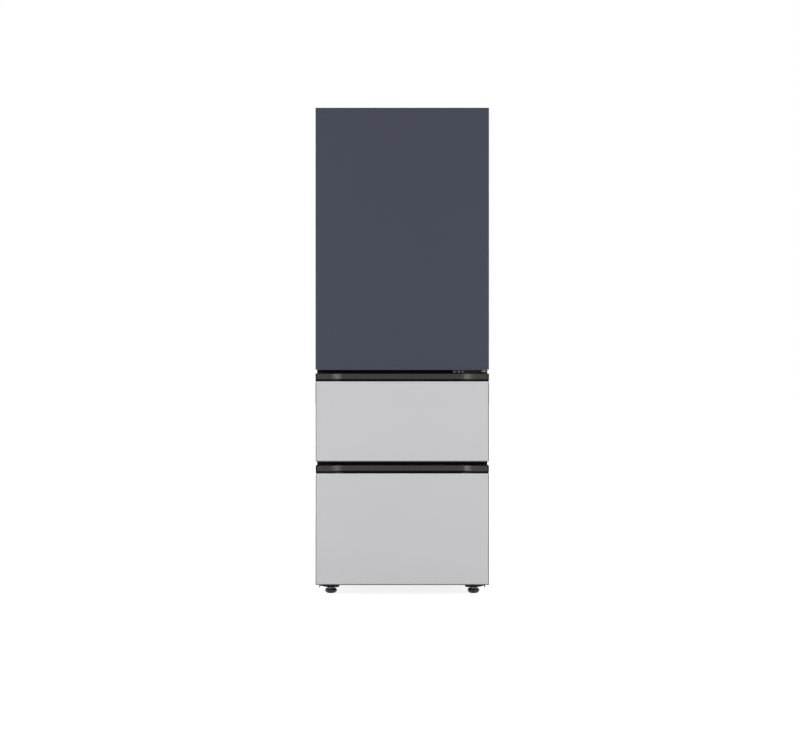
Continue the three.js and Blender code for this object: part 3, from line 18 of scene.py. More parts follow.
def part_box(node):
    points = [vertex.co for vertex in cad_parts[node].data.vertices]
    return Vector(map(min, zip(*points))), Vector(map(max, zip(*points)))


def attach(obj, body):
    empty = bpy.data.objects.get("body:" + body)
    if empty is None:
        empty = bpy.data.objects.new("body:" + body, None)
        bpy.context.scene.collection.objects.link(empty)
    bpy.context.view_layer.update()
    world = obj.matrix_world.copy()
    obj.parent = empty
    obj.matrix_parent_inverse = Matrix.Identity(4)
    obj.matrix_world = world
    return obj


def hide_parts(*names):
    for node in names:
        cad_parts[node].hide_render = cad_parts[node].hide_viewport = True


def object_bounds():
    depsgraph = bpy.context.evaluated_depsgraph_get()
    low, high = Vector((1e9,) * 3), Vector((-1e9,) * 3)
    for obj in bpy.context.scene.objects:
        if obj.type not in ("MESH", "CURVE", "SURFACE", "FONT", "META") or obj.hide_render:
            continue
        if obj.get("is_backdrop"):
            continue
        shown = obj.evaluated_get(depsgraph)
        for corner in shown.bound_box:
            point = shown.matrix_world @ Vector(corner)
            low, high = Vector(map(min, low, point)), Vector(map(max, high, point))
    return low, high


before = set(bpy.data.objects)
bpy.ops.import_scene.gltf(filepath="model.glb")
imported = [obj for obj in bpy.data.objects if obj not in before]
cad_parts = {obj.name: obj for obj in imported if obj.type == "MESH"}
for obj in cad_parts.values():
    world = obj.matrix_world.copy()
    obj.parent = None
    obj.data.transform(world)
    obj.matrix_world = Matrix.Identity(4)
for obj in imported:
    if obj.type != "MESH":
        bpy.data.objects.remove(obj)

LOG = logging.getLogger("refrigerator")
MM = 0.001
SHARP = math.radians(35)  # edges that turn by more are rounded or shaded sharp
FLAT = math.radians(0.5)  # faces that turn by less are one flat region
FIT = 0.3  # clearance between pieces that seat on each other
HINGE_PIN = (20.0, 31.0)  # the pin from the door's right side and front
HINGE_NOTCH = (47.0, 7.0, 22.0)  # width, distance from the front and depth in the door's top

Span = tuple[float, float]
Flat = tuple[float, float]
Point = tuple[float, float, float]
Rgb = tuple[int, int, int]


# ---- Finishes ---------------------------------------------------------------------


def linear(colour: Rgb) -> tuple[float, float, float]:
    """Turns an 8-bit display colour into the linear values that a shader takes.

    Args:
        colour: red, green and blue from 0 to 255, as they should look.

    Returns:
        The three linear values, from 0 to 1.
    """

    def channel(value: float) -> float:
        """One channel, by the display curve."""
        share = value / 255
        return share / 12.92 if share <= 0.04045 else ((share + 0.055) / 1.055) ** 2.4

    return channel(colour[0]), channel(colour[1]), channel(colour[2])


class Surface(Enum):
    """How the skin of a finish is formed."""

    PAINT = "even coat with a faint orange peel"
    MOULDED = "fine grain from the mould"
    BRUSHED = "long fine lines along X"
    DRAWN = "long fine lines along Y"
    SPANGLE = "zinc flowers in patches"
    FOAM = "open cells"
    SMOOTH = "polished, with the faintest waves"


@dataclass(frozen=True)
class Finish:
    """A surface as the workshop orders it; the node tree is made from these values."""

    name: str
    colour: Rgb
    roughness: float
    surface: Surface = Surface.MOULDED
    slot: str = ""
    metallic: float = 0.0
    specular: float = 0.5
    coat: float = 0.0
    coat_roughness: float = 0.1
    transmission: float = 0.0
    ior: float = 1.45
    drift: float = 0.02
    relief: float = 1.0
    glow: float = 0.0

    def material(self) -> bpy.types.Material:
        """The material of this finish, made once."""
        found = bpy.data.materials.get(self.name)
        return found if found is not None else Recipe(self).cook()


class Tree:
    """The node tree of a material or a world, emptied and ready to be wired."""

    def __init__(self, owner: bpy.types.Material | bpy.types.World) -> None:
        """Empties the tree.

        Args:
            owner: the material or world that the tree belongs to.
        """
        owner.use_nodes = True
        self.tree = owner.node_tree
        self.tree.nodes.clear()

    def add(self, kind: str, **values: float | Sequence[float]) -> bpy.types.Node:
        """A new node with some of its inputs set.

        Args:
            kind: the shader node's kind.
            values: value by the input's name, with underscores for its spaces.

        Returns:
            The node.
        """
        node = self.tree.nodes.new(f"ShaderNode{kind}")
        for name, value in values.items():
            node.inputs[name.replace("_", " ")].default_value = value
        return node

    def join(self, source: bpy.types.NodeSocket, target: bpy.types.NodeSocket) -> None:
        """A link from one socket to another."""
        self.tree.links.new(source, target)


class Recipe(Tree):
    """The node tree of one finish: colour drift, uneven roughness and relief."""

    GRAIN = {
        Surface.PAINT: (1.6, (1, 1, 1), 0.012),
        Surface.MOULDED: (0.9, (1, 1, 1), 0.02),
        Surface.BRUSHED: (0.5, (0.02, 1, 1), 0.01),
        Surface.DRAWN: (0.6, (1, 0.02, 1), 0.012),
        Surface.SPANGLE: (5.0, (1, 1, 1), 0.01),
        Surface.FOAM: (2.2, (1, 1, 1), 0.5),
        Surface.SMOOTH: (40.0, (1, 1, 1), 0.02),
    }
    PATCH = {
        Surface.PAINT: (320.0, (1, 1, 1)),
        Surface.MOULDED: (120.0, (1, 1, 1)),
        Surface.BRUSHED: (6.0, (0.03, 1, 1)),
        Surface.DRAWN: (6.0, (1, 0.03, 1)),
        Surface.SPANGLE: (5.0, (1, 1, 1)),
        Surface.FOAM: (30.0, (1, 1, 1)),
        Surface.SMOOTH: (200.0, (1, 1, 1)),
    }

    def __init__(self, finish: Finish) -> None:
        """Starts an empty tree with its shader and output.

        Args:
            finish: the finish that the tree is for.
        """
        self.finish = finish
        self.material = bpy.data.materials.new(finish.name)
        super().__init__(self.material)
        self.shader = self.add("BsdfPrincipled")
        self.join(self.shader.outputs["BSDF"], self.add("OutputMaterial").inputs["Surface"])
        self.place = self.add("TexCoord").outputs["Object"]

    def stretched(self, stretch: Point) -> bpy.types.NodeSocket:
        """The object coordinates, drawn out along an axis.

        Args:
            stretch: scale along X, Y and Z; under 1 draws the pattern out.

        Returns:
            The vector socket to feed a texture with.
        """
        mapping = self.add("Mapping", Scale=stretch)
        self.join(self.place, mapping.inputs["Vector"])
        return mapping.outputs["Vector"]

    def noise(self, size: float, stretch: Point = (1, 1, 1), detail: float = 2.0) -> bpy.types.NodeSocket:
        """A noise of a given grain.

        Args:
            size: width of one blotch in millimetres.
            stretch: how the pattern is drawn out along the axes.
            detail: how many finer layers it has.

        Returns:
            The value socket, about 0.3 to 0.7.
        """
        texture = self.add("TexNoise", Scale=1 / (size * MM), Detail=detail)
        self.join(self.stretched(stretch), texture.inputs["Vector"])
        return texture.outputs["Fac"]

    def cells(self, size: float) -> bpy.types.NodeSocket:
        """Flat-toned cells of a given size in millimetres, as a value from 0 to 1."""
        texture = self.add("TexVoronoi", Scale=1 / (size * MM))
        self.join(self.place, texture.inputs["Vector"])
        grey = self.add("SeparateColor")
        self.join(texture.outputs["Color"], grey.inputs["Color"])
        return grey.outputs["Red"]

    def spread(self, value: bpy.types.NodeSocket, low: float, high: float) -> bpy.types.NodeSocket:
        """A noise value opened out to run from low to high.

        Args:
            value: the noise, mostly between 0.3 and 0.7.
            low: result at its lowest.
            high: result at its highest.

        Returns:
            The clamped value socket.
        """
        ranged = self.add("MapRange", From_Min=0.3, From_Max=0.7, To_Min=low, To_Max=high)
        self.join(value, ranged.inputs["Value"])
        return ranged.outputs["Result"]

    def patches(self) -> bpy.types.NodeSocket:
        """The slow pattern that colour and roughness follow."""
        size, stretch = self.PATCH[self.finish.surface]
        if self.finish.surface is Surface.SPANGLE:
            return self.cells(size)
        return self.noise(size, stretch)

    def cook(self) -> bpy.types.Material:
        """Wires the tree.

        Returns:
            The finished material.
        """
        made, sockets = self.finish, self.shader.inputs
        base = linear(made.colour)
        mix = self.add("Mix")
        mix.data_type = "RGBA"
        tint = [socket for socket in mix.inputs if socket.type == "RGBA"]
        tint[0].default_value = (*(value * (1 - made.drift) for value in base), 1)
        tint[1].default_value = (*(min(1, value * (1 + made.drift)) for value in base), 1)
        self.join(self.spread(self.patches(), 0, 1), mix.inputs["Factor"])
        result = next(socket for socket in mix.outputs if socket.type == "RGBA")
        self.join(result, sockets["Base Color"])
        swing = (0.04 if made.surface is Surface.PAINT else 0.1) * made.roughness
        uneven = self.noise(45, (1, 1, 1), 3)
        self.join(self.spread(uneven, made.roughness - swing, made.roughness + swing), sockets["Roughness"])
        size, stretch, height = self.GRAIN[made.surface]
        bump = self.add("Bump", Strength=0.6, Distance=height * made.relief * MM)
        self.join(self.noise(size, stretch, 3), bump.inputs["Height"])
        self.join(bump.outputs["Normal"], sockets["Normal"])
        for name, value in (
            ("Metallic", made.metallic),
            ("Specular IOR Level", made.specular),
            ("Coat Weight", made.coat),
            ("Coat Roughness", made.coat_roughness),
            ("Transmission Weight", made.transmission),
            ("IOR", made.ior),
        ):
            sockets[name].default_value = value
        if made.glow:
            sockets["Emission Color"].default_value = (*base, 1)
            sockets["Emission Strength"].default_value = made.glow
        return self.material


NAVY = Finish("navy_enamel", (57, 61, 74), 0.5, Surface.PAINT, "navy_panel", specular=0.25, drift=0.008)
PALE_GREY = Finish("pale_grey_enamel", (191, 191, 193), 0.48, Surface.PAINT, "grey_panel", specular=0.3, drift=0.006)
EDGE = Finish("satin_edge_metal", (84, 85, 88), 0.42, Surface.BRUSHED, "edge_frame", metallic=0.5, drift=0.01)
# painted highlight: the drawer lip is a near-white grey that stands for light caught along its top edge
PAINTED_HIGHLIGHT_LIP = Finish("painted_highlight_lip", (240, 240, 242), 0.4, Surface.PAINT, "edge_frame", drift=0.005)
CHARCOAL = Finish("charcoal_trim", (50, 48, 46), 0.34, Surface.SMOOTH, "handle_trim", metallic=0.55, drift=0.03)
CASE = Finish("grey_case_paint", (184, 186, 188), 0.46, Surface.PAINT, "case_sheet", metallic=0.1, drift=0.005)
BLACK_PAINT = Finish("black_frame_paint", (6, 7, 8), 0.6, Surface.PAINT, "black_frame", specular=0.12, drift=0.1)
LINER = Finish("white_liner_plastic", (232, 234, 235), 0.36, Surface.MOULDED, "white_liner", drift=0.01)
FOAM = Finish("cream_foam", (226, 215, 181), 0.95, Surface.FOAM, "foam", drift=0.08)
ZINC = Finish("zinc_coated_sheet", (164, 167, 170), 0.4, Surface.SPANGLE, "zinc_sheet", metallic=0.8, drift=0.025)
STEEL = Finish("drawn_slide_steel", (184, 187, 190), 0.3, Surface.DRAWN, "slide_steel", metallic=1.0, drift=0.04)
GASKET = Finish("grey_gasket_rubber", (94, 96, 98), 0.7, Surface.MOULDED, "gasket", drift=0.05)
BLACK = Finish("black_moulded_plastic", (27, 28, 30), 0.5, Surface.MOULDED, "black_plastic", drift=0.08)
GLASS = Finish(
    "shelf_glass_clear", (228, 240, 236), 0.05, Surface.SMOOTH, "shelf_glass", transmission=0.92, ior=1.5, relief=0.3
)
TRIM = Finish("silver_trim", (190, 193, 196), 0.3, Surface.BRUSHED, "zinc_sheet", metallic=0.9, drift=0.03)
CLEAR = Finish(
    "clear_bin_plastic", (226, 234, 236), 0.08, Surface.SMOOTH, "bin_plastic", transmission=0.85, ior=1.49, relief=0.5
)
GEAR = Finish("ivory_gear_plastic", (236, 235, 228), 0.42, Surface.MOULDED, "gear_plastic", drift=0.02)
BASKET = Finish("pale_basket_plastic", (218, 221, 222), 0.4, Surface.MOULDED, "basket_plastic", drift=0.015)
CONTAINER = Finish("grey_container_plastic", (160, 165, 168), 0.42, Surface.MOULDED, "container_plastic", drift=0.03)
COMPRESSOR = Finish("black_compressor_paint", (24, 25, 27), 0.38, Surface.PAINT, "compressor_paint", drift=0.1)
COPPER = Finish("drawn_copper", (190, 116, 82), 0.3, Surface.SMOOTH, "copper_tube", metallic=1.0, drift=0.12)
CONTAINER_DARK = Finish("dark_clip_plastic", (96, 100, 104), 0.4, Surface.MOULDED, "container_plastic", drift=0.04)
BLACK_STEEL = Finish("black_hinge_steel", (38, 39, 41), 0.4, Surface.PAINT, "zinc_sheet", metallic=0.3, drift=0.06)
TOUCH = Finish("black_touch_glass", (16, 17, 19), 0.12, Surface.SMOOTH, "black_plastic", coat=0.5, drift=0.05)
LAMP = Finish("frosted_lamp_lens", (250, 250, 246), 0.5, Surface.MOULDED, "white_liner", glow=0.35, drift=0.01)
RUBBER = Finish("black_foot_plastic", (7, 7, 8), 0.42, Surface.MOULDED, "foot_plastic", drift=0.08)


# ---- The bench: how pieces are made ---------------------------------------------------


class Way(Enum):
    """The direction that an outline is pushed, or a profile is turned about."""

    X = "x"
    Y = "y"
    Z = "z"

    def place(self, u: float, v: float, w: float) -> Point:
        """A point from its two flat values and its travel along this way."""
        return {Way.X: (w, u, v), Way.Y: (u, w, v), Way.Z: (u, v, w)}[self]


def around(centre: float, half: float) -> Span:
    """The span from a half on one side of a centre to a half on the other."""
    return centre - half, centre + half


def shrunk(span: Span, by: float) -> Span:
    """A span drawn in at both ends; a negative amount grows it."""
    return span[0] + by, span[1] - by


def on_side(sign: int, near: float, far: float) -> Span:
    """A span on the left (-1) or right (1) of the middle, in rising order."""
    return min(sign * near, sign * far), max(sign * near, sign * far)


def quarter(steps: int) -> list[float]:
    """Angles from nothing to a right angle, in equal steps."""
    return [math.pi / 2 * step / steps for step in range(steps + 1)]


def round_rectangle(u: Span, v: Span, radius: float, steps: int = 5) -> list[Flat]:
    """A rectangle with round corners.

    Args:
        u: low and high value along the first direction.
        v: low and high value along the second.
        radius: corner radius.
        steps: straight steps to a corner.

    Returns:
        The outline's points, once round.
    """
    corners = ((u[1], v[0], -90), (u[1], v[1], 0), (u[0], v[1], 90), (u[0], v[0], 180))
    points = []
    for cu, cv, start in corners:
        centre_u = cu - math.copysign(radius, cu - (u[0] + u[1]) / 2)
        centre_v = cv - math.copysign(radius, cv - (v[0] + v[1]) / 2)
        for step in range(steps + 1):
            angle = math.radians(start + 90 * step / steps)
            points.append((centre_u + radius * math.cos(angle), centre_v + radius * math.sin(angle)))
    return points


@dataclass(frozen=True)
class Room:
    """The space that a CAD node takes up, in millimetres."""

    x: Span
    y: Span
    z: Span

    @classmethod
    def of(cls, node: str) -> "Room":
        """The room of a CAD node by its name."""
        low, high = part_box(node)
        return cls(*((low[i] / MM, high[i] / MM) for i in range(3)))

    def centre(self) -> Point:
        """The middle of the room."""
        return sum(self.x) / 2, sum(self.y) / 2, sum(self.z) / 2


class Blank:
    """A piece on the bench: operators shape it, and release() makes it a scene object."""

    def __init__(self) -> None:
        """Starts with an empty mesh."""
        self.mesh = bmesh.new()

    def settle(self, verts: Iterable[bmesh.types.BMVert], edge: float, steps: int) -> None:
        """Turns a new closed shell outwards and rounds its sharp edges.

        Args:
            verts: the shell's vertices.
            edge: radius of the rounding; none at 0.
            steps: segments of the rounding.
        """
        shell = list(verts)
        faces = dict.fromkeys(face for vert in shell for face in vert.link_faces)
        bmesh.ops.recalc_face_normals(self.mesh, faces=list(faces))
        if edge > 0:
            self.round_edges(shell, edge, steps)

    def round_edges(self, verts: Iterable[bmesh.types.BMVert], edge: float, steps: int) -> None:
        """Bevels the edges at some vertices that turn sharply, always in the same order.

        Args:
            verts: the vertices whose edges are looked at.
            edge: width of the bevel.
            steps: its segments.
        """
        edges = dict.fromkeys(e for vert in verts for e in vert.link_edges)
        sharp = [e for e in edges if len(e.link_faces) == 2 and e.calc_face_angle(0) > SHARP]
        shape = {"offset": edge, "offset_type": "OFFSET", "segments": steps, "profile": 0.5, "material": -1}
        bmesh.ops.bevel(self.mesh, geom=sharp, affect="EDGES", clamp_overlap=True, **shape)

    def block(self, x: Span, y: Span, z: Span, edge: float = 0.8, steps: int = 2) -> None:
        """A block with rounded edges.

        Args:
            x: low and high along X.
            y: low and high along Y.
            z: low and high along Z.
            edge: radius of its edges.
            steps: segments of the rounding.
        """
        size = [high - low for low, high in (x, y, z)]
        matrix = Matrix.Translation(Room(x, y, z).centre()) @ Matrix.Diagonal((*size, 1))
        self.settle(bmesh.ops.create_cube(self.mesh, size=1, matrix=matrix)["verts"], edge, steps)

    def slab(
        self, outline: Sequence[Flat], span: Span, way: Way = Way.Z, edge: float = 0.6, steps: int = 2
    ) -> None:
        """A flat outline pushed along a way.

        Args:
            outline: points once round; along X they are (y, z), along Y (x, z), along Z (x, y).
            span: where the push starts and ends.
            way: its direction.
            edge: radius of the edges.
            steps: segments of the rounding.
        """
        verts = [self.mesh.verts.new(way.place(u, v, span[0])) for u, v in outline]
        face = self.mesh.faces.new(verts)
        grown = bmesh.ops.extrude_face_region(self.mesh, geom=[face], use_keep_orig=True)["geom"]
        moved = [item for item in grown if isinstance(item, bmesh.types.BMVert)]
        bmesh.ops.translate(self.mesh, verts=moved, vec=Vector(way.place(0, 0, span[1] - span[0])))
        self.settle(verts + moved, edge, steps)

    def turned(
        self,
        profile: Sequence[Flat],
        at: Point = (0, 0, 0),
        way: Way = Way.Z,
        steps: int = 32,
        ring: bool = False,
        edge: float = 0.0,
    ) -> list[bmesh.types.BMVert]:
        """A profile spun once about an axis.

        Args:
            profile: (radius, travel) points.
            at: where the axis passes.
            way: the axis.
            steps: facets round it.
            ring: True where the profile closes on itself.
            edge: radius of its sharp edges.

        Returns:
            The vertices of the turned shell.
        """
        centre = Vector(at)
        verts = [self.mesh.verts.new(centre + Vector(way.place(r, 0, h))) for r, h in profile]
        pairs = list(zip(verts, verts[1:])) + ([(verts[-1], verts[0])] if ring else [])
        edges = [self.mesh.edges.new(pair) for pair in pairs]
        before = set(self.mesh.verts) - set(verts)
        turn = {"cent": centre, "axis": Vector(way.place(0, 0, 1)), "angle": 2 * math.pi, "steps": steps}
        bmesh.ops.spin(self.mesh, geom=verts + edges, use_merge=True, use_duplicate=False, **turn)
        shell = [vert for vert in self.mesh.verts if vert not in before]
        bmesh.ops.remove_doubles(self.mesh, verts=shell, dist=1e-3)
        shell = [vert for vert in self.mesh.verts if vert not in before]
        self.settle(shell, edge, 2)
        return [vert for vert in self.mesh.verts if vert not in before]

    def skin(self, rings: Sequence[Sequence[Point]], loop: bool = False) -> None:
        """A skin over sections that all have the same number of points.

        Args:
            rings: the sections, in order.
            loop: True where the last section joins the first; otherwise the ends are capped.
        """
        made = [[self.mesh.verts.new(point) for point in ring] for ring in rings]
        pairs = list(zip(made, made[1:])) + ([(made[-1], made[0])] if loop else [])
        for one, two in pairs:
            for i in range(len(one)):
                j = (i + 1) % len(one)
                self.mesh.faces.new((one[i], one[j], two[j], two[i]))
        if not loop:
            self.mesh.faces.new(made[0])
            self.mesh.faces.new(made[-1])
        self.settle([vert for ring in made for vert in ring], 0, 1)

    def sweep(
        self, section: Sequence[Flat], path: Sequence[Point], up: Optional[Point] = None, loop: bool = False
    ) -> None:
        """A section carried along a path.

        Args:
            section: points about the path; the first value is sideways, the second along up.
            path: the points that it follows.
            up: a fixed up direction, or None to let it roll with the path.
            loop: True where the path closes.
        """
        line = [Vector(point) for point in path]
        count = len(line)
        side = None
        rings = []
        for i, here in enumerate(line):
            ahead = line[(i + 1) % count] if loop or i + 1 < count else here
            behind = line[i - 1] if loop or i > 0 else here
            along = (ahead - behind).normalized()
            if up is not None:
                top = Vector(up)
                across = along.cross(top).normalized()
            else:
                across = side if side is not None else along.orthogonal()
                across = (across - along * across.dot(along)).normalized()
                top = across.cross(along)
                side = across
            rings.append([here + across * u + top * v for u, v in section])
        self.skin(rings, loop)

    def tube(self, path: Sequence[Point], radius: float, sides: int = 10) -> None:
        """A round tube along a path, closed at its ends."""
        turns = [2 * math.pi * i / sides for i in range(sides)]
        self.sweep([(radius * math.cos(turn), radius * math.sin(turn)) for turn in turns], path)

    def stack(
        self, u: Span, v: Span, corner: float, levels: Sequence[Flat], way: Way = Way.Z, steps: int = 6
    ) -> None:
        """A closed body over rounded rectangles that stand one behind another.

        Args:
            u: low and high of the first direction of the plan.
            v: low and high of the second.
            corner: radius of the plan's corners.
            levels: (travel, inset) of each rectangle, in order.
            way: the direction of travel.
            steps: segments of a corner.
        """
        rings = []
        for travel, by in levels:
            plan = round_rectangle(shrunk(u, by), shrunk(v, by), max(1.0, corner - by), steps)
            rings.append([way.place(a, b, travel) for a, b in plan])
        self.skin(rings)

    def tray(self, outline: Sequence[Flat], rings: Sequence[Flat], wall: float) -> None:
        """An open tray: an outline shrunk from ring to ring, with a wall and a floor.

        Args:
            outline: the plan at the rim.
            rings: (height, inset) of each level, from the rim to the floor.
            wall: thickness of wall and floor.
        """
        spans = [(min(values), max(values)) for values in zip(*outline)]
        centre = [sum(span) / 2 for span in spans]
        half = [high - middle for (_, high), middle in zip(spans, centre)]

        def level(height: float, by: float) -> list[Point]:
            """The outline at one level, drawn in by an amount."""
            return [
                (*(c + (value - c) * (1 - by / h) for value, c, h in zip(point, centre, half)), height)
                for point in outline
            ]

        outer = [level(height, by) for height, by in rings]
        inner = [level(height, by + wall) for height, by in rings[:-1]]
        floor, by = rings[-1]
        inner.append(level(floor + math.copysign(wall, rings[0][0] - floor), by + wall))
        self.skin(outer[::-1] + inner)

    def window(
        self, outer: tuple[Span, Span], hole: tuple[Span, Span], corner: float, span: Span, way: Way, edge: float
    ) -> None:
        """A rectangular plate or frame with one opening, all its edges rounded.

        Args:
            outer: spans of the plate along its two flat directions.
            hole: spans of the opening.
            corner: radius of the opening's corners.
            span: where its thickness starts and ends.
            way: the direction of its thickness.
            edge: radius of the edges.
        """
        front = [(edge * (1 - math.sin(turn)), span[0] + edge * (1 - math.cos(turn))) for turn in quarter(3)]
        levels = front + [(by, span[1] + span[0] - travel) for by, travel in reversed(front)]
        passes = [(by, travel, outer, 0.3) for by, travel in levels]
        passes += [(-by, travel, hole, corner + by) for by, travel in reversed(levels)]
        rings = []
        for by, travel, (u, v), radius in passes:
            plan = round_rectangle(shrunk(u, by), shrunk(v, by), radius)
            rings.append([way.place(a, b, travel) for a, b in plan])
        self.skin(rings, loop=True)

    def pierced(
        self, outline: Sequence[Flat], centre: Flat, radius: float, span: Span, way: Way, edge: float = 0.3
    ) -> None:
        """A flat plate with a round hole.

        Args:
            outline: the plate's corners, once round.
            centre: middle of the hole.
            radius: radius of the hole.
            span: where its thickness starts and ends.
            way: the direction of its thickness.
            edge: radius of the edges.
        """
        parts = 6
        outer = []
        for one, two in zip(outline, [*outline[1:], outline[0]]):
            outer += [tuple(a + (b - a) * k / parts for a, b in zip(one, two)) for k in range(parts)]
        hole = []
        for u, v in outer:
            away = math.hypot(u - centre[0], v - centre[1])
            hole.append(tuple(c + (value - c) * radius / away for value, c in zip((u, v), centre)))
        before = set(self.mesh.verts)
        plans = ((outer, span[0]), (outer, span[1]), (hole, span[1]), (hole, span[0]))
        self.skin([[way.place(u, v, travel) for u, v in plan] for plan, travel in plans], loop=True)
        self.round_edges([vert for vert in self.mesh.verts if vert not in before], edge, 2)

    def cad(self, node: str, edge: float = 0.5, steps: int = 2) -> None:
        """A CAD node's own solid, merged and with its sharp edges rounded.

        Args:
            node: the node's name.
            edge: radius of its edges.
            steps: segments of the rounding.
        """
        before = set(self.mesh.verts)
        self.mesh.from_mesh(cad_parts[node].data)
        mine = [vert for vert in self.mesh.verts if vert not in before]
        bmesh.ops.scale(self.mesh, verts=mine, vec=(1 / MM, 1 / MM, 1 / MM))
        bmesh.ops.remove_doubles(self.mesh, verts=mine, dist=0.01)
        mine = [vert for vert in self.mesh.verts if vert not in before]
        self.join_flats([face for vert in mine for face in vert.link_faces])
        if edge > 0:
            self.round_edges([vert for vert in self.mesh.verts if vert not in before], edge, steps)

    def join_flats(self, faces: Sequence[bmesh.types.BMFace]) -> None:
        """Makes one face of each flat region, but leaves a region round a hole as it is.

        Args:
            faces: the faces to go through.
        """
        flats, seen = [], set()
        for first in reversed(faces):
            found = [] if first in seen else [first]
            seen.add(first)
            region = dict.fromkeys(found)
            while found:
                for side in found.pop().edges:
                    if len(side.link_faces) == 2 and side.calc_face_angle(0) < FLAT:
                        fresh = [other for other in side.link_faces if other not in seen]
                        seen.update(fresh)
                        region.update(dict.fromkeys(fresh))
                        found += fresh
            rim = [side for face in region for side in face.edges if not set(side.link_faces) <= set(region)]
            if len(region) > 1 and self.count_loops(rim) == 1:
                flats.append(list(region))
        for region in flats:
            bmesh.ops.dissolve_faces(self.mesh, faces=region, use_verts=False)
        loose = [vert for vert in self.mesh.verts if len(vert.link_edges) == 2]
        bmesh.ops.dissolve_verts(self.mesh, verts=loose)

    def count_loops(self, rim: list[bmesh.types.BMEdge]) -> int:
        """How many separate loops some edges make; 0 where loops touch each other.

        Args:
            rim: the edges round a region.

        Returns:
            The number of loops.
        """
        links: dict[bmesh.types.BMVert, list[bmesh.types.BMVert]] = {}
        for side in rim:
            one, two = side.verts
            links.setdefault(one, []).append(two)
            links.setdefault(two, []).append(one)
        if any(len(ends) != 2 for ends in links.values()):
            return 0
        left, loops = set(links), 0
        while left:
            loops += 1
            todo = [left.pop()]
            while todo:
                for other in links[todo.pop()]:
                    if other in left:
                        left.remove(other)
                        todo.append(other)
        return loops

    def screw(self, at: Point, way: Way, sign: int, radius: float) -> None:
        """A washer-head screw with a sunk middle.

        Args:
            at: the middle of its seat.
            way: the way that its axis runs.
            sign: 1 where the head points along the way, -1 where against it.
            radius: radius of its head.
        """
        washer = [(0, -0.2), (1, -0.2), (1, 0.5), (0.68, 0.7)]
        head = [(0.62, 2.0), (0.45, 2.4), (0.12, 2.4), (0.1, 1.6), (0, 1.6)]
        self.turned([(radius * share, sign * height) for share, height in washer + head], at, way, 20)

    def move(self, matrix: Matrix) -> None:
        """Moves everything on the bench by a matrix."""
        bmesh.ops.transform(self.mesh, matrix=matrix, verts=self.mesh.verts)

    def release(self, name: str, body: str, finish: Finish, replaces: Sequence[str] = ()) -> bpy.types.Object:
        """Makes the blank a scene object, dressed and riding on its body.

        Args:
            name: the piece's name.
            body: the CAD body that it moves with.
            finish: its surface.
            replaces: CAD nodes that it stands for.

        Returns:
            The new object.
        """
        bmesh.ops.scale(self.mesh, verts=self.mesh.verts, vec=(MM, MM, MM))
        for face in self.mesh.faces:
            face.smooth = True
        for edge in self.mesh.edges:
            edge.smooth = edge.calc_face_angle(math.pi) < SHARP
        data = bpy.data.meshes.new(name)
        self.mesh.to_mesh(data)
        self.mesh.free()
        piece = bpy.data.objects.new(name, data)
        bpy.context.scene.collection.objects.link(piece)
        data.materials.append(finish.material())
        even = piece.modifiers.new("even shading", "WEIGHTED_NORMAL")
        even.keep_sharp = True
        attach(piece, body)
        if replaces:
            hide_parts(*replaces)
        LOG.info("%s rides on %s: %d faces", name, body, len(data.polygons))
        return piece


def soften(node: str, body: str, finish: Finish, edge: float = 0.5, steps: int = 2) -> bpy.types.Object:
    """Replaces a CAD node by its own solid with rounded edges.

    Args:
        node: the node's name.
        body: the body that it belongs to.
        finish: its surface.
        edge: radius of its edges.
        steps: segments of the rounding.

    Returns:
        The new piece.
    """
    blank = Blank()
    blank.cad(node, edge, steps)
    return blank.release(f"{node}_dressed", body, finish, [node])


def dress(node: str, finish: Finish) -> None:
    """Gives a CAD node that stays as it is its finish."""
    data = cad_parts[node].data
    data.materials.clear()
    data.materials.append(finish.material())
    LOG.info("%s keeps its solid", node)


# ---- Studio -------------------------------------------------------------------------


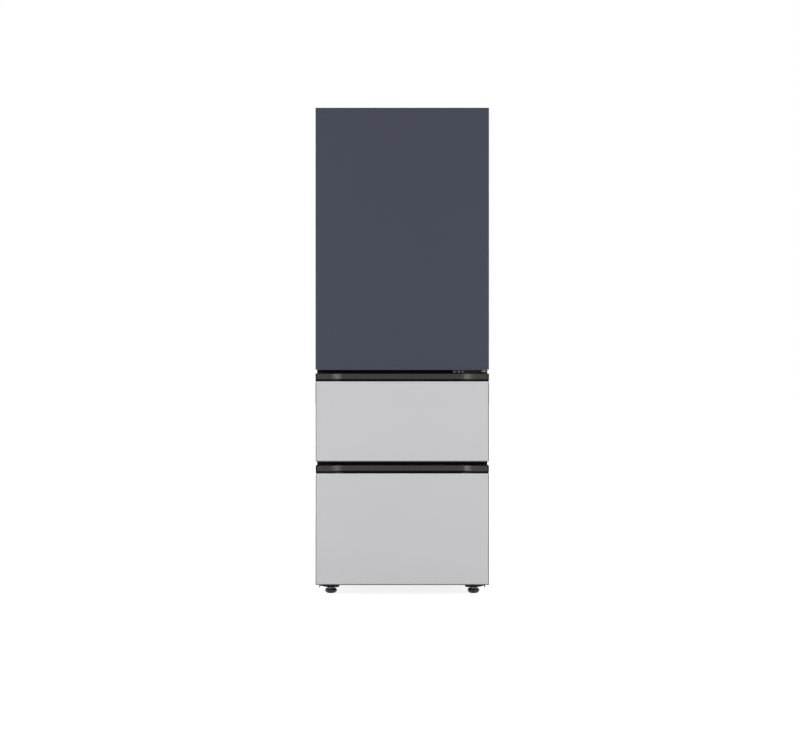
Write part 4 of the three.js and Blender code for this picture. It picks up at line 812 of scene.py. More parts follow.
@dataclass
class Studio:
    """Pale room, soft lamps and the camera, at the photograph's viewing angle."""

    eye: Point = (-12.4, -6365.0, 876.0)
    lens: float = 71.2
    floor_size: float = 60000.0
    ambient: float = 0.45

    def build(self) -> None:
        """Makes the room, the lamps and the camera."""
        bpy.context.scene.view_settings.view_transform = "Standard"
        self.set_world()
        self.lay_floor()
        self.hang_lamp("key lamp", (-2600, -4700, 2600), (3000, 3400), 50)
        self.hang_lamp("fill lamp", (2900, -4300, 2100), (2400, 2600), 29)
        for side, name in ((-1, "left strip"), (1, "right strip")):
            self.hang_lamp(name, (side * 2700, -1700, 1150), (480, 2200), 36)
        self.place_camera()

    def seen_directly(self, tree: Tree) -> bpy.types.NodeSocket:
        """A value that is 1 for camera, glossy and transmission rays."""
        path = tree.add("LightPath")
        result = path.outputs["Is Camera Ray"]
        for name in ("Is Glossy Ray", "Is Transmission Ray"):
            either = tree.add("Math")
            either.operation = "MAXIMUM"
            tree.join(result, either.inputs[0])
            tree.join(path.outputs[name], either.inputs[1])
            result = either.outputs[0]
        return result

    def set_world(self) -> None:
        """White where it is seen, plain soft light otherwise."""
        world = bpy.data.worlds.new("pale room")
        bpy.context.scene.world = world
        tree = Tree(world)
        strength = tree.add("MapRange", To_Min=self.ambient, To_Max=1.0)
        tree.join(self.seen_directly(tree), strength.inputs["Value"])
        light = tree.add("Background", Color=(1, 1, 1, 1))
        tree.join(strength.outputs["Result"], light.inputs["Strength"])
        tree.join(light.outputs[0], tree.add("OutputWorld").inputs["Surface"])

    def lay_floor(self) -> None:
        """A pale floor that keeps the object's shadow and fades into the room."""
        bench = bmesh.new()
        bmesh.ops.create_grid(bench, x_segments=1, y_segments=1, size=self.floor_size * MM / 2)
        data = bpy.data.meshes.new("floor")
        bench.to_mesh(data)
        bench.free()
        floor = bpy.data.objects.new("floor", data)
        floor.location.z = -0.5 * MM
        bpy.context.scene.collection.objects.link(floor)
        floor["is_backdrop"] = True
        material = bpy.data.materials.new("pale floor")
        self.paint_floor(Tree(material))
        data.materials.append(material)

    def paint_floor(self, tree: Tree) -> None:
        """Matt where light falls on it, and lit up where it is seen, more so further out.

        Args:
            tree: the floor's node tree.
        """
        matt = tree.add("BsdfDiffuse", Color=(0.8, 0.8, 0.8, 1))
        shine = tree.add("Emission")
        reach = tree.add("VectorMath")
        reach.operation = "LENGTH"
        tree.join(tree.add("TexCoord").outputs["Object"], reach.inputs[0])
        fade = tree.add("MapRange", From_Min=1.2, From_Max=3.5, To_Min=0.85, To_Max=1.1)
        tree.join(reach.outputs["Value"], fade.inputs["Value"])
        only = tree.add("Math")
        only.operation = "MULTIPLY"
        tree.join(fade.outputs["Result"], only.inputs[0])
        tree.join(self.seen_directly(tree), only.inputs[1])
        tree.join(only.outputs[0], shine.inputs["Strength"])
        both = tree.add("AddShader")
        tree.join(matt.outputs[0], both.inputs[0])
        tree.join(shine.outputs[0], both.inputs[1])
        tree.join(both.outputs[0], tree.add("OutputMaterial").inputs["Surface"])

    def hang_lamp(self, name: str, at: Point, size: tuple[float, float], watts: float) -> None:
        """A soft rectangular lamp that looks at the middle of the object.

        Args:
            name: the lamp's name.
            at: its place.
            size: width and height.
            watts: its power.
        """
        data = bpy.data.lights.new(name, "AREA")
        data.shape = "RECTANGLE"
        data.size, data.size_y = size[0] * MM, size[1] * MM
        data.energy = watts
        lamp = bpy.data.objects.new(name, data)
        lamp.location = Vector(at) * MM
        lamp.rotation_euler = (Vector((0, 0, 950)) - Vector(at)).to_track_quat("-Z", "Y").to_euler()
        bpy.context.scene.collection.objects.link(lamp)

    def place_camera(self) -> None:
        """The camera, level and square to the front."""
        data = bpy.data.cameras.new("camera")
        data.lens = self.lens
        data.sensor_width = 36
        data.clip_start, data.clip_end = 0.05, 200
        camera = bpy.data.objects.new("camera", data)
        camera.location = Vector(self.eye) * MM
        camera.rotation_euler = (math.pi / 2, 0, 0)
        bpy.context.scene.collection.objects.link(camera)
        bpy.context.scene.camera = camera


# ---- Fronts ---------------------------------------------------------------------------


def hinge_pin(room: Room) -> Flat:
    """X and Y of the door's hinge pins, from the room of the door's casing."""
    return room.x[1] - HINGE_PIN[0], room.y[0] + HINGE_PIN[1]


@dataclass
class Casing:
    """The thin frame round a front: walls that stand on edge, open towards the back."""

    node: str
    body: str
    finish: Finish
    wall: float = 2.5
    edge: float = 0.5
    setback: float = 0.8

    def build(self) -> None:
        """Makes the frame, set back a little from the sheet that it holds."""
        whole = Room.of(self.node)
        room = Room(whole.x, (whole.y[0] + self.setback, whole.y[1]), whole.z)
        walls = Blank()
        self.add_walls(walls, room)
        walls.release(f"{self.node}_walls", self.body, self.finish, [self.node])
        self.add_lip(whole)

    def add_walls(self, walls: Blank, room: Room) -> None:
        """A drawer's frame: sides and bottom.

        Args:
            walls: the blank to add to.
            room: the frame's room.
        """
        (left, right), (front, back), (low, top) = room.x, room.y, room.z
        wall = self.wall
        walls.block(room.x, room.y, (low, low + wall), self.edge, 3)
        side = [(front, low), (back, low), (back, top)]
        side += [(front + 4, top), (front + 4, top - wall), (front, top - wall)]
        for x in ((left, left + wall), (right - wall, right)):
            walls.slab(side, x, Way.X, self.edge, 3)

    def add_lip(self, room: Room) -> None:
        """The lip over a drawer's sheet, in front of the handle trim, in a paler colour that paints the highlight
        along its top edge.

        Args:
            room: the frame's whole room.
        """
        lip = Blank()
        front, top = room.y[0], room.z[1]
        lip.block(shrunk(room.x, 0.1), (front, front + 4), (top - self.wall, top), 1.1, 3)
        lip.release(f"{self.node}_lip", self.body, PAINTED_HIGHLIGHT_LIP)


@dataclass
class DoorCasing(Casing):
    """The door's frame: closed on all sides, with the finger grip in its bottom."""

    grip_x: Span = (-250.0, 200.0)
    grip_y: Span = (13.0, 47.0)
    grip_depth: float = 22.0
    grip_wall: float = 4.0
    grip_corner: float = 12.0
    pin_bore: float = 7.0
    pin_plate: float = 60.0

    def add_walls(self, walls: Blank, room: Room) -> None:
        """The frame with the hinge's notch, and the grip's pocket.

        Args:
            walls: the blank to add to.
            room: the frame's room.
        """
        (left, right), (front, back), (low, top) = room.x, room.y, room.z
        wide, face, deep = HINGE_NOTCH
        face, notch = front + face, top - deep
        bottom, top_sheet = (low, low + self.wall), (top - self.wall, top)
        walls.block((left, left + self.wall), room.y, room.z, self.edge, 3)
        side = [(front, low), (back, low), (back, notch), (face, notch), (face, top), (front, top)]
        walls.slab(side, (right - self.wall, right), Way.X, self.edge, 3)
        cap = [(left, front), (right, front), (right, face), (right - wide, face), (right - wide, back)]
        walls.slab(cap + [(left, back)], top_sheet, Way.Z, self.edge, 3)
        grip_y = (front + self.grip_y[0], front + self.grip_y[1])
        split = right - self.pin_plate
        walls.window(((left, split), room.y), (self.grip_x, grip_y), 4.0, bottom, Way.Z, self.edge)
        plate = [(split, front), (right, front), (right, back), (split, back)]
        walls.pierced(plate, hinge_pin(room), self.pin_bore, bottom, Way.Z, self.edge / 2)
        grown = [shrunk(span, -self.grip_wall) for span in (self.grip_x, grip_y)]
        ceiling = low + self.grip_depth
        rings = [(low + FIT, 0), (ceiling - 3, 0), (ceiling + 2, 1.2), (ceiling + self.grip_wall, 4.5)]
        walls.tray(round_rectangle(*grown, self.grip_corner), rings, self.grip_wall)

    def add_lip(self, room: Room) -> None:
        """The door has no lip of its own: its frame is closed."""


@dataclass
class FrontPanel:
    """The coloured sheet of a door or drawer front, its edge rolled to the back."""

    node: str
    body: str
    finish: Finish
    roll: float = 2.4

    def build(self) -> None:
        """Makes the sheet with its rolled edge."""
        room = Room.of(self.node)
        blank = Blank()
        levels = [(room.y[1], 0.0)]
        for turn in quarter(5):
            levels.append((room.y[0] + self.roll * (1 - math.sin(turn)), self.roll * (1 - math.cos(turn))))
        blank.stack(room.x, room.z, 1.0, levels, Way.Y, 4)
        blank.release(f"{self.node}_sheet", self.body, self.finish, [self.node])


@dataclass
class HandleTrim:
    """The dark trim along a drawer's top: flush ends, an S-curve into a finger recess."""

    node: str
    body: str
    end_flat: float = 50.0
    curve_run: float = 54.0
    curve_lead: float = 0.85
    recess: float = 24.0
    setback: float = 2.5
    face_height: float = 30.5
    groove_height: float = 8.5
    groove_depth: float = 6.0
    end_groove_depth: float = 7.8
    lip_setback: float = 4.3
    lip: float = 2.9
    trough_depth: float = 16.0
    trough_end: float = 8.0
    chamfer: float = 2.2
    end_radius: float = 0.7
    cap: float = 5.4
    casing: float = 2.8
    steps: int = 26

    def stations(self, half: float) -> list[tuple[float, float, float]]:
        """Where sections stand along one half.

        Args:
            half: half of the trim's length.

        Returns:
            (distance from the middle, depth of the face, share of the trough) from the middle out.
        """
        recess_end = half - self.end_flat - self.curve_run
        found = [(0.0, self.recess, 1.0)]
        for turn in quarter(6):
            found.append((recess_end - self.trough_end * (1 - math.sin(turn)), self.recess, math.cos(turn)))
        for i in range(1, self.steps + 1):
            share = i / self.steps
            ease = (1 + math.cos(math.pi * share**self.curve_lead)) / 2
            found.append((recess_end + self.curve_run * share, self.recess * ease, 0.0))
        return found + [(half - self.cap, 0.0, 0.0)]

    def cap_stations(self, half: float) -> list[tuple[float, float, float]]:
        """Where sections stand along the cap at one end, its outer edge rounded.

        Args:
            half: half of the trim's length.

        Returns:
            (distance from the middle, depth of the face, share of the trough) outwards.
        """
        found = [(half - self.cap + 0.15, 0.0, 0.0)]
        for turn in quarter(4):
            away = self.end_radius * (1 - math.cos(turn))
            found.append((half - self.end_radius * (1 - math.sin(turn)), away, 0.0))
        return found

    def section(self, room: Room, x: float, depth: float, trough: float) -> list[Point]:
        """One section across the trim.

        Args:
            room: the trim's room.
            x: where it stands.
            depth: how far the face lies behind the trim's front.
            trough: share of the trough's depth, 0 where there is none.

        Returns:
            Its points in space.
        """
        front = room.y[0]
        face = front + depth
        lip_front = front - self.setback + self.lip_setback
        back, top = room.y[1], room.z[1]
        panel_top = top - self.face_height
        groove_top = panel_top + self.groove_height
        share = depth / self.recess
        groove_back = face + self.end_groove_depth + (self.groove_depth - self.end_groove_depth) * share
        lip_back = lip_front + self.lip
        sink = panel_top + 0.6 - trough * (self.trough_depth + 0.6)
        c = self.chamfer
        points = [
            (back, top),
            (face + c, top),
            (face + 0.3 * c, top - 0.3 * c),
            (face, top - c),
            (face, groove_top + 1),
            (face + 1, groove_top),
            (groove_back, groove_top),
            (groove_back, sink + 1.5 + 0.1),
            (groove_back - 0.4, sink + 0.4),
            (groove_back - 1.2, sink),
            (lip_back + 0.2 + 1.5 * trough, sink),
            (lip_back, panel_top + 0.4 - trough * (self.trough_depth - 1.5)),
            (lip_back, panel_top + 0.6),
            (lip_front, panel_top + 0.6),
        ]
        seat = [(lip_front, panel_top), (lip_front, room.z[0]), (back, room.z[0]), (back, panel_top)]
        narrow = x * (1 - self.casing / room.x[1])
        return [(x, y, z) for y, z in points] + [(narrow, y, z) for y, z in seat]

    def build(self) -> None:
        """Makes the trim, and the black strip at the back of its groove and the black end caps, which paint the shade
        in the groove and at the ends.
        """
        room = Room.of(self.node)
        right = self.stations(room.x[1])
        along = [(-x, depth, trough) for x, depth, trough in reversed(right)] + right[1:]
        blank = Blank()
        blank.skin([self.section(room, *station) for station in along])
        blank.release(f"{self.node}_moulded", self.body, CHARCOAL, [self.node])
        # painted shade: the groove's back strip and the end caps are black, standing for the shade in the groove and
        # at the trim's ends
        dark = Blank()
        dark.skin([self.painted_shade_strip(self.section(room, *station)) for station in along])
        for side in (-1, 1):
            cap = self.cap_stations(room.x[1])
            dark.skin([self.section(room, side * x, depth, trough) for x, depth, trough in cap])
        dark.release(f"{self.node}_painted_shade", self.body, BLACK_PAINT)

    def painted_shade_strip(self, section: Sequence[Point]) -> list[Point]:
        """The thin black strip against the back of the groove, a painted shade for the groove's shadowed back.

        Args:
            section: a section of the trim; its seventh and eighth points bound the groove's back.

        Returns:
            The strip's section.
        """
        (x, back, top), low = section[6:8]
        near, high = back - 0.5, top - 0.1
        return [(x, back + 0.3, high), (x, near, high), (x, near, low[2]), low]


@dataclass
class Gasket:
    """A magnetic gasket: a foot held in the inner panel, two bellows and a magnet bulb."""

    node: str
    body: str
    width: float = 16.0
    corner: float = 14.0

    def build(self) -> None:
        """Sweeps the gasket's section round its opening."""
        room = Room.of(self.node)
        low, high = room.y
        half = self.width / 2
        middle = (low + high) / 2
        one_side = [(half, low), (half, low + 2.2), (half - 3, low + 3), (half - 1.2, middle)]
        one_side += [(half - 3.4, middle + 0.8), (half - 1.6, high - 2.4), (half - 2.4, high)]
        section = one_side + [(-u, v) for u, v in reversed(one_side)]
        plan = round_rectangle(shrunk(room.x, half), shrunk(room.z, half), self.corner, 6)
        path = [(u, 0.0, v) for u, v in plan]
        blank = Blank()
        blank.sweep(section, path, up=(0, 1, 0), loop=True)
        blank.release(f"{self.node}_bellows", self.body, GASKET, [self.node])


# ---- Door -------------------------------------------------------------------------------


@dataclass
class DoorBin:
    """A clear bin that hangs between the door's ridges, with a bright front rail."""

    node: str
    wall: float = 2.5
    corner: float = 24.0
    lean: float = 3.0

    def build(self) -> None:
        """Makes the tray and its rail."""
        room = Room.of(self.node)
        y, (low, high) = room.y, room.z
        blank = Blank()
        rings = [(high, 0), (high - 3, 0), (high - 5, 0.8)]
        rings += [(low + 8, self.lean + 0.8), (low + 2, self.lean + 2), (low, self.lean + 5)]
        blank.tray(self.plan(room.x, y), rings, self.wall)
        blank.release(f"{self.node}_tray", "upper_door", CLEAR, [self.node])
        rail = Blank()
        line = self.plan(shrunk(room.x, 0.4), (y[0], y[1] - 0.4))
        path = [(u, v, high - 12) for u, v in line[1:-1] if v > y[0] + 30]
        rail.sweep([(-0.9, -6), (0.3, -6), (0.3, 6), (-0.9, 6)], path, up=(0, 0, 1))
        rail.release(f"{self.node}_rail", "upper_door", TRIM)

    def plan(self, x: Span, y: Span) -> list[Flat]:
        """The tray's plan: square corners at low Y, round ones at high Y.

        Args:
            x: its left and right.
            y: its two ends.

        Returns:
            Its points, once round.
        """
        r = self.corner
        points = [(x[1], y[0])]
        for centre, start in ((x[1] - r, 0.0), (x[0] + r, math.pi / 2)):
            for turn in quarter(8):
                points.append((centre + r * math.cos(start + turn), y[1] - r + r * math.sin(start + turn)))
        return points + [(x[0], y[0])]


@dataclass
class DoorInner:
    """The door's inner panel: a flat field, and a round ridge that carries the bins."""

    node: str = "door_liner"
    skin: float = 9.0
    ridge_width: float = 30.0
    crest: float = 9.0
    flare: float = 5.0
    corner: float = 24.0
    boss: float = 10.0
    press_half: float = 190.0
    notch: Flat = (45.7, 21.2)  # width and height of the corner left free for the hinge
    grip: tuple[float, float, float] = (-254.3, 204.3, 26.5)  # left, right and height of the grip's room
    bore: float = 8.0
    below: float = 18.5

    def build(self) -> None:
        """Makes the panel, the foam behind it, the ridge with its bosses and the pressed fields."""
        room = Room.of(self.node)
        field = Room.of("door_gasket").y[0] - FIT
        panel = Blank()
        outline = self.notched(room.x, room.z)
        panel.slab(outline, (field - self.skin, field), Way.Y, 1.2, 3)
        panel.release("door_inner_panel", "upper_door", LINER, [self.node])
        foam = Blank()
        y = (room.y[0], field - self.skin)
        above = room.z[0] + self.grip[2]
        foam.slab(self.notched(room.x, (above, room.z[1]), self.below), y, Way.Y, 0.4)
        foam.block((room.x[0], self.grip[0]), y, (room.z[0], above), 0.4)
        foot = [(self.grip[1], y[0]), (room.x[1], y[0]), (room.x[1], y[1]), (self.grip[1], y[1])]
        foam.pierced(foot, hinge_pin(Room.of("door_casing")), self.bore, (room.z[0], above), Way.Z, 0.2)
        foam.release("door_foam", "upper_door", FOAM)
        self.build_ridge(field, room.y[1])

    def notched(self, x: Span, z: Span, below: float = 0.0) -> list[Flat]:
        """A rectangle in (x, z) without the corner that holds the hinge.

        Args:
            x: its left and right.
            z: its bottom and top.
            below: how much deeper the corner is cut.

        Returns:
            Its corners, once round.
        """
        wide, tall = self.notch[0], self.notch[1] + below
        corner = [(x[1], z[1] - tall), (x[1] - wide, z[1] - tall), (x[1] - wide, z[1])]
        return [(x[0], z[0]), (x[1], z[0]), *corner, (x[0], z[1])]

    def build_ridge(self, field: float, crest: float) -> None:
        """Makes the ridge, its bosses and the pressed fields between the bins.

        Args:
            field: Y of the flat field.
            crest: Y of the ridge's top.
        """
        gasket = Room.of("door_gasket")
        bins = [Room.of(f"door_bin_{number}") for number in (1, 2, 3)]
        ridge = Blank()
        half = self.ridge_width / 2
        outer = bins[0].x[1] + FIT + self.ridge_width
        path_z = shrunk((bins[0].z[0] - 40 - self.ridge_width, gasket.z[1] - 33), half)
        path = [(u, 0.0, v) for u, v in round_rectangle(around(0, outer - half), path_z, self.corner, 6)]
        ridge.sweep(self.ridge_section(field, crest), path, up=(0, 1, 0), loop=True)
        for each in bins:
            low, inner = each.z[0] - FIT, each.x[1] + FIT
            for side in (-1, 1):
                x = on_side(side, inner - self.boss, inner + 2)
                ridge.block(x, (field + 12, crest - 12), (low - self.boss, low), 2.0, 3)
        ridge.release("door_ridge", "upper_door", LINER)
        pressed = Blank()
        levels = [path_z[0] + half] + [each.z[1] + 18 for each in bins]
        tops = [each.z[0] - 24 for each in bins] + [path_z[1] - half]
        rise = [(field - 0.5, 0), (field + 0.3, 0), (field + 1.2, 0.9), (field + 1.6, 2.4)]
        for low, high in zip(levels, tops):
            if high - low > 60:
                pressed.stack(around(0, self.press_half), shrunk((low, high), 14), 16, rise, Way.Y)
        pressed.release("door_pressed_fields", "upper_door", LINER)

    def ridge_section(self, field: float, crest: float) -> list[Flat]:
        """The ridge's section: flared foot, upright flanks and a round crest.

        Args:
            field: Y of the panel's flat field.
            crest: Y of the ridge's top.

        Returns:
            (sideways, Y) points, once round.
        """
        half, r = self.ridge_width / 2, self.crest
        side = [(half + self.flare, field - 0.4), (half + 1.5, field + 1.5), (half, field + self.flare)]
        side += [(half - r + r * math.cos(turn), crest - r + r * math.sin(turn)) for turn in quarter(6)]
        return side + [(-u, v) for u, v in reversed(side)]


@dataclass
class UpperDoor:
    """The hinged door with everything that rides on it."""

    bins: int = 3
    pocket_wall: float = 1.4
    bush: Flat = (6.2, 10.5)  # inner and outer radius

    def build(self) -> None:
        """Makes the door's pieces."""
        FrontPanel("door_panel", "upper_door", NAVY).build()
        DoorCasing("door_casing", "upper_door", EDGE).build()
        DoorInner().build()
        Gasket("door_gasket", "upper_door").build()
        for number in range(1, self.bins + 1):
            DoorBin(f"door_bin_{number}").build()
        self.build_pocket(Room.of("door_casing"))

    def build_pocket(self, room: Room) -> None:
        """The moulded pocket that lines the hinge's notch, with the pin's bush.

        Args:
            room: the casing's room.
        """
        wide, face, deep = HINGE_NOTCH
        wall = self.pocket_wall
        x, y, z = room.x[1] - wide, room.y[0] + face, room.z[1] - deep
        end, top = (room.x[1] - 2.6, room.y[1] - 0.2), room.z[1] - 2.6
        pocket = Blank()
        pin = hinge_pin(room)
        floor = [(x, y), (end[0], y), (end[0], end[1]), (x, end[1])]
        pocket.pierced(floor, pin, self.bush[0], (z - wall, z), Way.Z, 0.2)
        pocket.block((x - wall, x), (y, end[1]), (z - wall, top), 0.3)
        pocket.block((x - wall, end[0]), (y - wall, y), (z - wall, top), 0.3)
        inner, outer = self.bush
        bush = [(inner, -0.4), (outer, -0.4), (outer, 1.0), (outer - 0.7, 1.6), (inner, 1.6)]
        pocket.turned(bush, (*pin, z), Way.Z, 28, ring=True)
        pocket.release("hinge_pocket", "upper_door", BLACK)


# ---- Drawers ----------------------------------------------------------------------------


@dataclass
class Basket:
    """A drawer's moulded basket with a rolled rim and upright ribs."""

    node: str
    body: str
    lean: float = 8.0
    rib_pitch: float = 36.0
    rib_width: float = 2.4
    rim: tuple[Flat, ...] = ((-1.0, -4.0), (1.4, -4.0), (1.8, -0.6), (1.0, 0.7), (-1.0, 0.7))

    def build(self) -> None:
        """Softens the tub, and adds its rolled rim and the ribs inside."""
        soften(self.node, self.body, BASKET, 0.7)
        room = Room.of(self.node)
        trim = Blank()
        top = room.z[1]
        path = [(u, v, top) for u, v in round_rectangle(room.x, room.y, 22, 6)]
        trim.sweep(self.rim, self.inward(path, 2), up=(0, 0, 1), loop=True)
        inner = room.x[1] - 13
        foot = inner - self.lean + 0.4
        count = int((room.y[1] - room.y[0] - 90) / self.rib_pitch)
        for number in range(count + 1):
            y = room.y[0] + 50 + number * self.rib_pitch
            for side in (-1, 1):
                points = [(side * (inner - 1.2), top - 14), (side * (foot - 0.6), room.z[0] + 6)]
                points += [(side * (foot + 1.4), room.z[0] + 6), (side * (inner + 1.0), top - 14)]
                trim.slab(points, (y, y + self.rib_width), Way.Y, 0.5)
        trim.release(f"{self.node}_rim", self.body, BASKET)

    def inward(self, path: Sequence[Point], by: float) -> list[Point]:
        """The path drawn in towards its own middle by an amount."""
        middle = (max(p[1] for p in path) + min(p[1] for p in path)) / 2
        return [(x - math.copysign(by, x), y - math.copysign(by, y - middle), z) for x, y, z in path]


@dataclass
class KimchiContainer:
    """A kimchi container: tapered body, lid with a seal line, wing clips and a knob."""

    node: str
    corner: float = 26.0
    lean: float = 7.0
    lid_height: float = 16.0
    overhang: float = 3.0
    well: float = 22.0

    def build(self) -> None:
        """Makes the body, the lid and the clips."""
        room = Room.of(self.node)
        x, y = shrunk(room.x, self.overhang), shrunk(room.y, self.overhang)
        low, high = room.z
        seam = high - self.lid_height
        body = Blank()
        lean = self.lean
        levels = [(low, lean + 6), (low + 1.5, lean + 2.5), (low + 6, lean), (low + 40, lean * 0.8)]
        bead = ((-24, 1.0), (-22, -1.2), (-17, -1.2), (-15, 1.0), (2, 0.6))
        levels += [(seam + rise, by) for rise, by in bead]
        body.stack(x, y, self.corner, levels)
        body.release(f"{self.node}_body", "lower_drawer", CONTAINER, [self.node])
        lid = Blank()
        rise = [(seam - 3, -self.overhang + 1), (seam - 3, -self.overhang), (high - 4, -self.overhang)]
        rise += [(high - 1.2, -self.overhang + 1.2), (high, -self.overhang + 4), (high, self.well - 4)]
        rise += [(high - 1, self.well - 1), (high - 3, self.well)]
        lid.stack(x, y, self.corner, rise)
        middle = ((x[0] + x[1]) / 2, (y[0] + y[1]) / 2, high - 3.2)
        lid.turned([(0, 0), (26, 0), (26, 1.6), (24, 2.8), (10, 3.1), (0, 3.1)], middle, Way.Z, 36)
        lid.release(f"{self.node}_lid", "lower_drawer", BASKET)
        self.add_clips(x, y, seam, high)

    def add_clips(self, x: Span, y: Span, seam: float, high: float) -> None:
        """Wing clips, one to each long side, hooked over the body's bead.

        Args:
            x: the body's width.
            y: the body's length.
            seam: height of the lid's lower edge.
            high: height of the lid.
        """
        clips = Blank()
        span = around((y[0] + y[1]) / 2, 34.0)
        for edge, sign in ((x[0], -1), (x[1], 1)):
            face = edge + sign * (self.overhang - 0.8)
            section = [(-1.5, high - 3), (0.7, high - 3.4), (0.8, seam - 14)]
            section += [(0.2, seam - 20), (-2.2, seam - 20), (-2.0, seam - 6)]
            clips.slab([(face + sign * out, z) for out, z in section], span, Way.Y, 0.5)
        clips.release(f"{self.node}_clips", "lower_drawer", CONTAINER_DARK)


@dataclass
class SlidePair:
    """The telescopic slides of a drawer, rolled from sheet, with their racks and screws."""

    name: str
    geared: bool = False
    sheet: float = 2.0
    # each member: outer and inner distance from the liner's wall, and half its height
    slide: tuple[float, float, float] = (0.0, 14.0, 23.0)
    carriage: tuple[float, float, float] = (2.5, 13.0, 20.5)
    runner: tuple[float, float, float] = (5.0, 16.5, 18.0)
    rise: float = 26.0
    flange: float = 8.0
    bracket: float = 43.7
    rack: tuple[float, float, float, float] = (22.5, 28.0, 31.0, 33.1)  # base, root, pitch line and tip
    rack_width: float = 8.0
    module: float = 3.0
    tooth_half: float = 2.056
    shaft: Flat = (-20.0, 49.0)  # from the slide's rear end and from its middle
    bearing: float = 5.4
    edge: float = 0.5

    def build(self) -> None:
        """Makes the three members on each side, and their screws."""
        channel = Room.of(f"{self.name}_slide_right")
        wall, centre = channel.x[1], channel.z[0] + self.slide[2]
        for side, sign in (("left", -1), ("right", 1)):
            fixed, middle, moving = Blank(), Blank(), Blank()
            for blank, (outer, inner, half) in ((fixed, self.slide), (middle, self.carriage)):
                section = self.channel(wall - outer, wall - inner, half)
                blank.slab(self.laid(section, sign, centre), channel.y, Way.Y, self.edge)
            if self.geared:
                x = on_side(sign, wall, wall - self.rack_width)
                fixed.slab(self.toothed(channel.y, centre), x, Way.X, 0.25, 1)
            self.add_runner(moving, sign, channel.y, wall, centre)
            fixed.release(f"{self.name}_slide_{side}_rolled", "cabinet", STEEL, [f"{self.name}_slide_{side}"])
            for blank, kind, body in ((middle, "carriage", "carriages"), (moving, "runner", "drawer")):
                node = f"{self.name}_{kind}_{side}"
                blank.release(f"{node}_rolled", f"{self.name}_{body}", STEEL, [node])
            self.add_screws(side, sign, channel, centre)

    def channel(self, outer: float, inner: float, half: float) -> list[Flat]:
        """The section of a channel that opens away from the wall."""
        t = self.sheet
        low = [(outer, -half), (inner, -half), (inner, t - half), (outer - t, t - half)]
        return low + [(x, -z) for x, z in reversed(low)]

    def laid(self, section: Sequence[Flat], sign: int, centre: float) -> list[Flat]:
        """A section on its side of the cabinet, at the slide's height."""
        return [(sign * x, centre + z) for x, z in section]

    def add_runner(self, moving: Blank, sign: int, y: Span, wall: float, centre: float) -> None:
        """The drawer's own member with its flange, front bracket and bearing plate.

        Args:
            moving: the blank to add to.
            sign: -1 on the left, 1 on the right.
            y: where the slides start and end.
            wall: distance of the slide's back from the middle.
            centre: the slide's height.
        """
        room = Room.of(f"{self.name}_runner_right")
        basket = Room.of(f"{self.name}_basket")
        outer, inner, half = wall - self.runner[0], wall - self.runner[1], self.runner[2]
        t = self.sheet
        web = inner + t
        section = [(outer, -half), (outer, t - half), (web, t - half), (web, half - t), (outer, half - t)]
        section += [(outer, half), (web, half), (web, self.rise), (inner, self.rise), (inner, -half)]
        moving.slab(self.laid(section, sign, centre), y, Way.Y, self.edge)
        for x, span, z in (
            ((inner - self.flange, web), (y[0], basket.y[1]), (self.rise - t, self.rise)),
            ((inner, web), (room.y[0], y[0] + 1), (-half, half)),
            ((wall - self.bracket, web), (room.y[0], room.y[0] + 3), (-half, half)),
        ):
            moving.block(on_side(sign, *x), span, (centre + z[0], centre + z[1]), self.edge)
        if self.geared:
            axis_y, axis_z = y[1] + self.shaft[0], centre + self.shaft[1]
            foot, low = centre + self.rise - 1, 8.0
            left = [(-21.0, foot), (-13.0, axis_z + low), (-6.5, axis_z + 13.0)]
            plate = [(axis_y + u, v) for u, v in left] + [(axis_y - u, v) for u, v in reversed(left)]
            plate[-1] = (y[1], foot)
            moving.pierced(plate, (axis_y, axis_z), self.bearing, on_side(sign, inner, web), Way.X)

    def toothed(self, y: Span, centre: float) -> list[Flat]:
        """The rack's outline in (y, z).

        Args:
            y: where the rack starts and ends.
            centre: the slide's height.

        Returns:
            Its points, once round, with trapezoid teeth on top.
        """
        base, root, line, tip = (centre + value for value in self.rack)
        pitch = math.pi * self.module
        lean = math.tan(math.radians(20))
        half = self.tooth_half
        wide, narrow = half + (line - root) * lean, half - (tip - line) * lean
        axis = y[1] + self.shaft[0]
        outline = [(y[0], base), (y[1], base), (y[1], root)]
        first = math.floor((y[1] - axis) / pitch - 0.5)
        last = math.ceil((y[0] - axis) / pitch - 0.5)
        for number in range(first, last - 1, -1):
            tooth = axis + (number + 0.5) * pitch
            if tooth + wide < y[1] - FIT and tooth - wide > y[0] + FIT:
                outline += [(tooth + wide, root), (tooth + narrow, tip)]
                outline += [(tooth - narrow, tip), (tooth - wide, root)]
        return outline + [(y[0], root)]

    def add_screws(self, side: str, sign: int, channel: Room, centre: float) -> None:
        """The screws of the front bracket and of the runner's web.

        Args:
            side: "left" or "right".
            sign: -1 on the left, 1 on the right.
            channel: the fixed member's room.
            centre: the slide's height.
        """
        room = Room.of(f"{self.name}_runner_{side}")
        screws = Blank()
        inner = min(abs(room.x[0]), abs(room.x[1]))
        for z in (centre - 11, centre + 11):
            screws.screw((sign * (inner + 10), room.y[0] + 3.3, z), Way.Y, 1, 4.2)
        face = channel.x[1] - self.runner[1]
        for share in (0.12, 0.5, 0.88):
            y = channel.y[0] + (channel.y[1] - channel.y[0]) * share
            screws.screw((sign * face, y, centre), Way.X, -sign, 3.4)
        screws.release(f"{self.name}_runner_screws_{side}", f"{self.name}_drawer", ZINC)


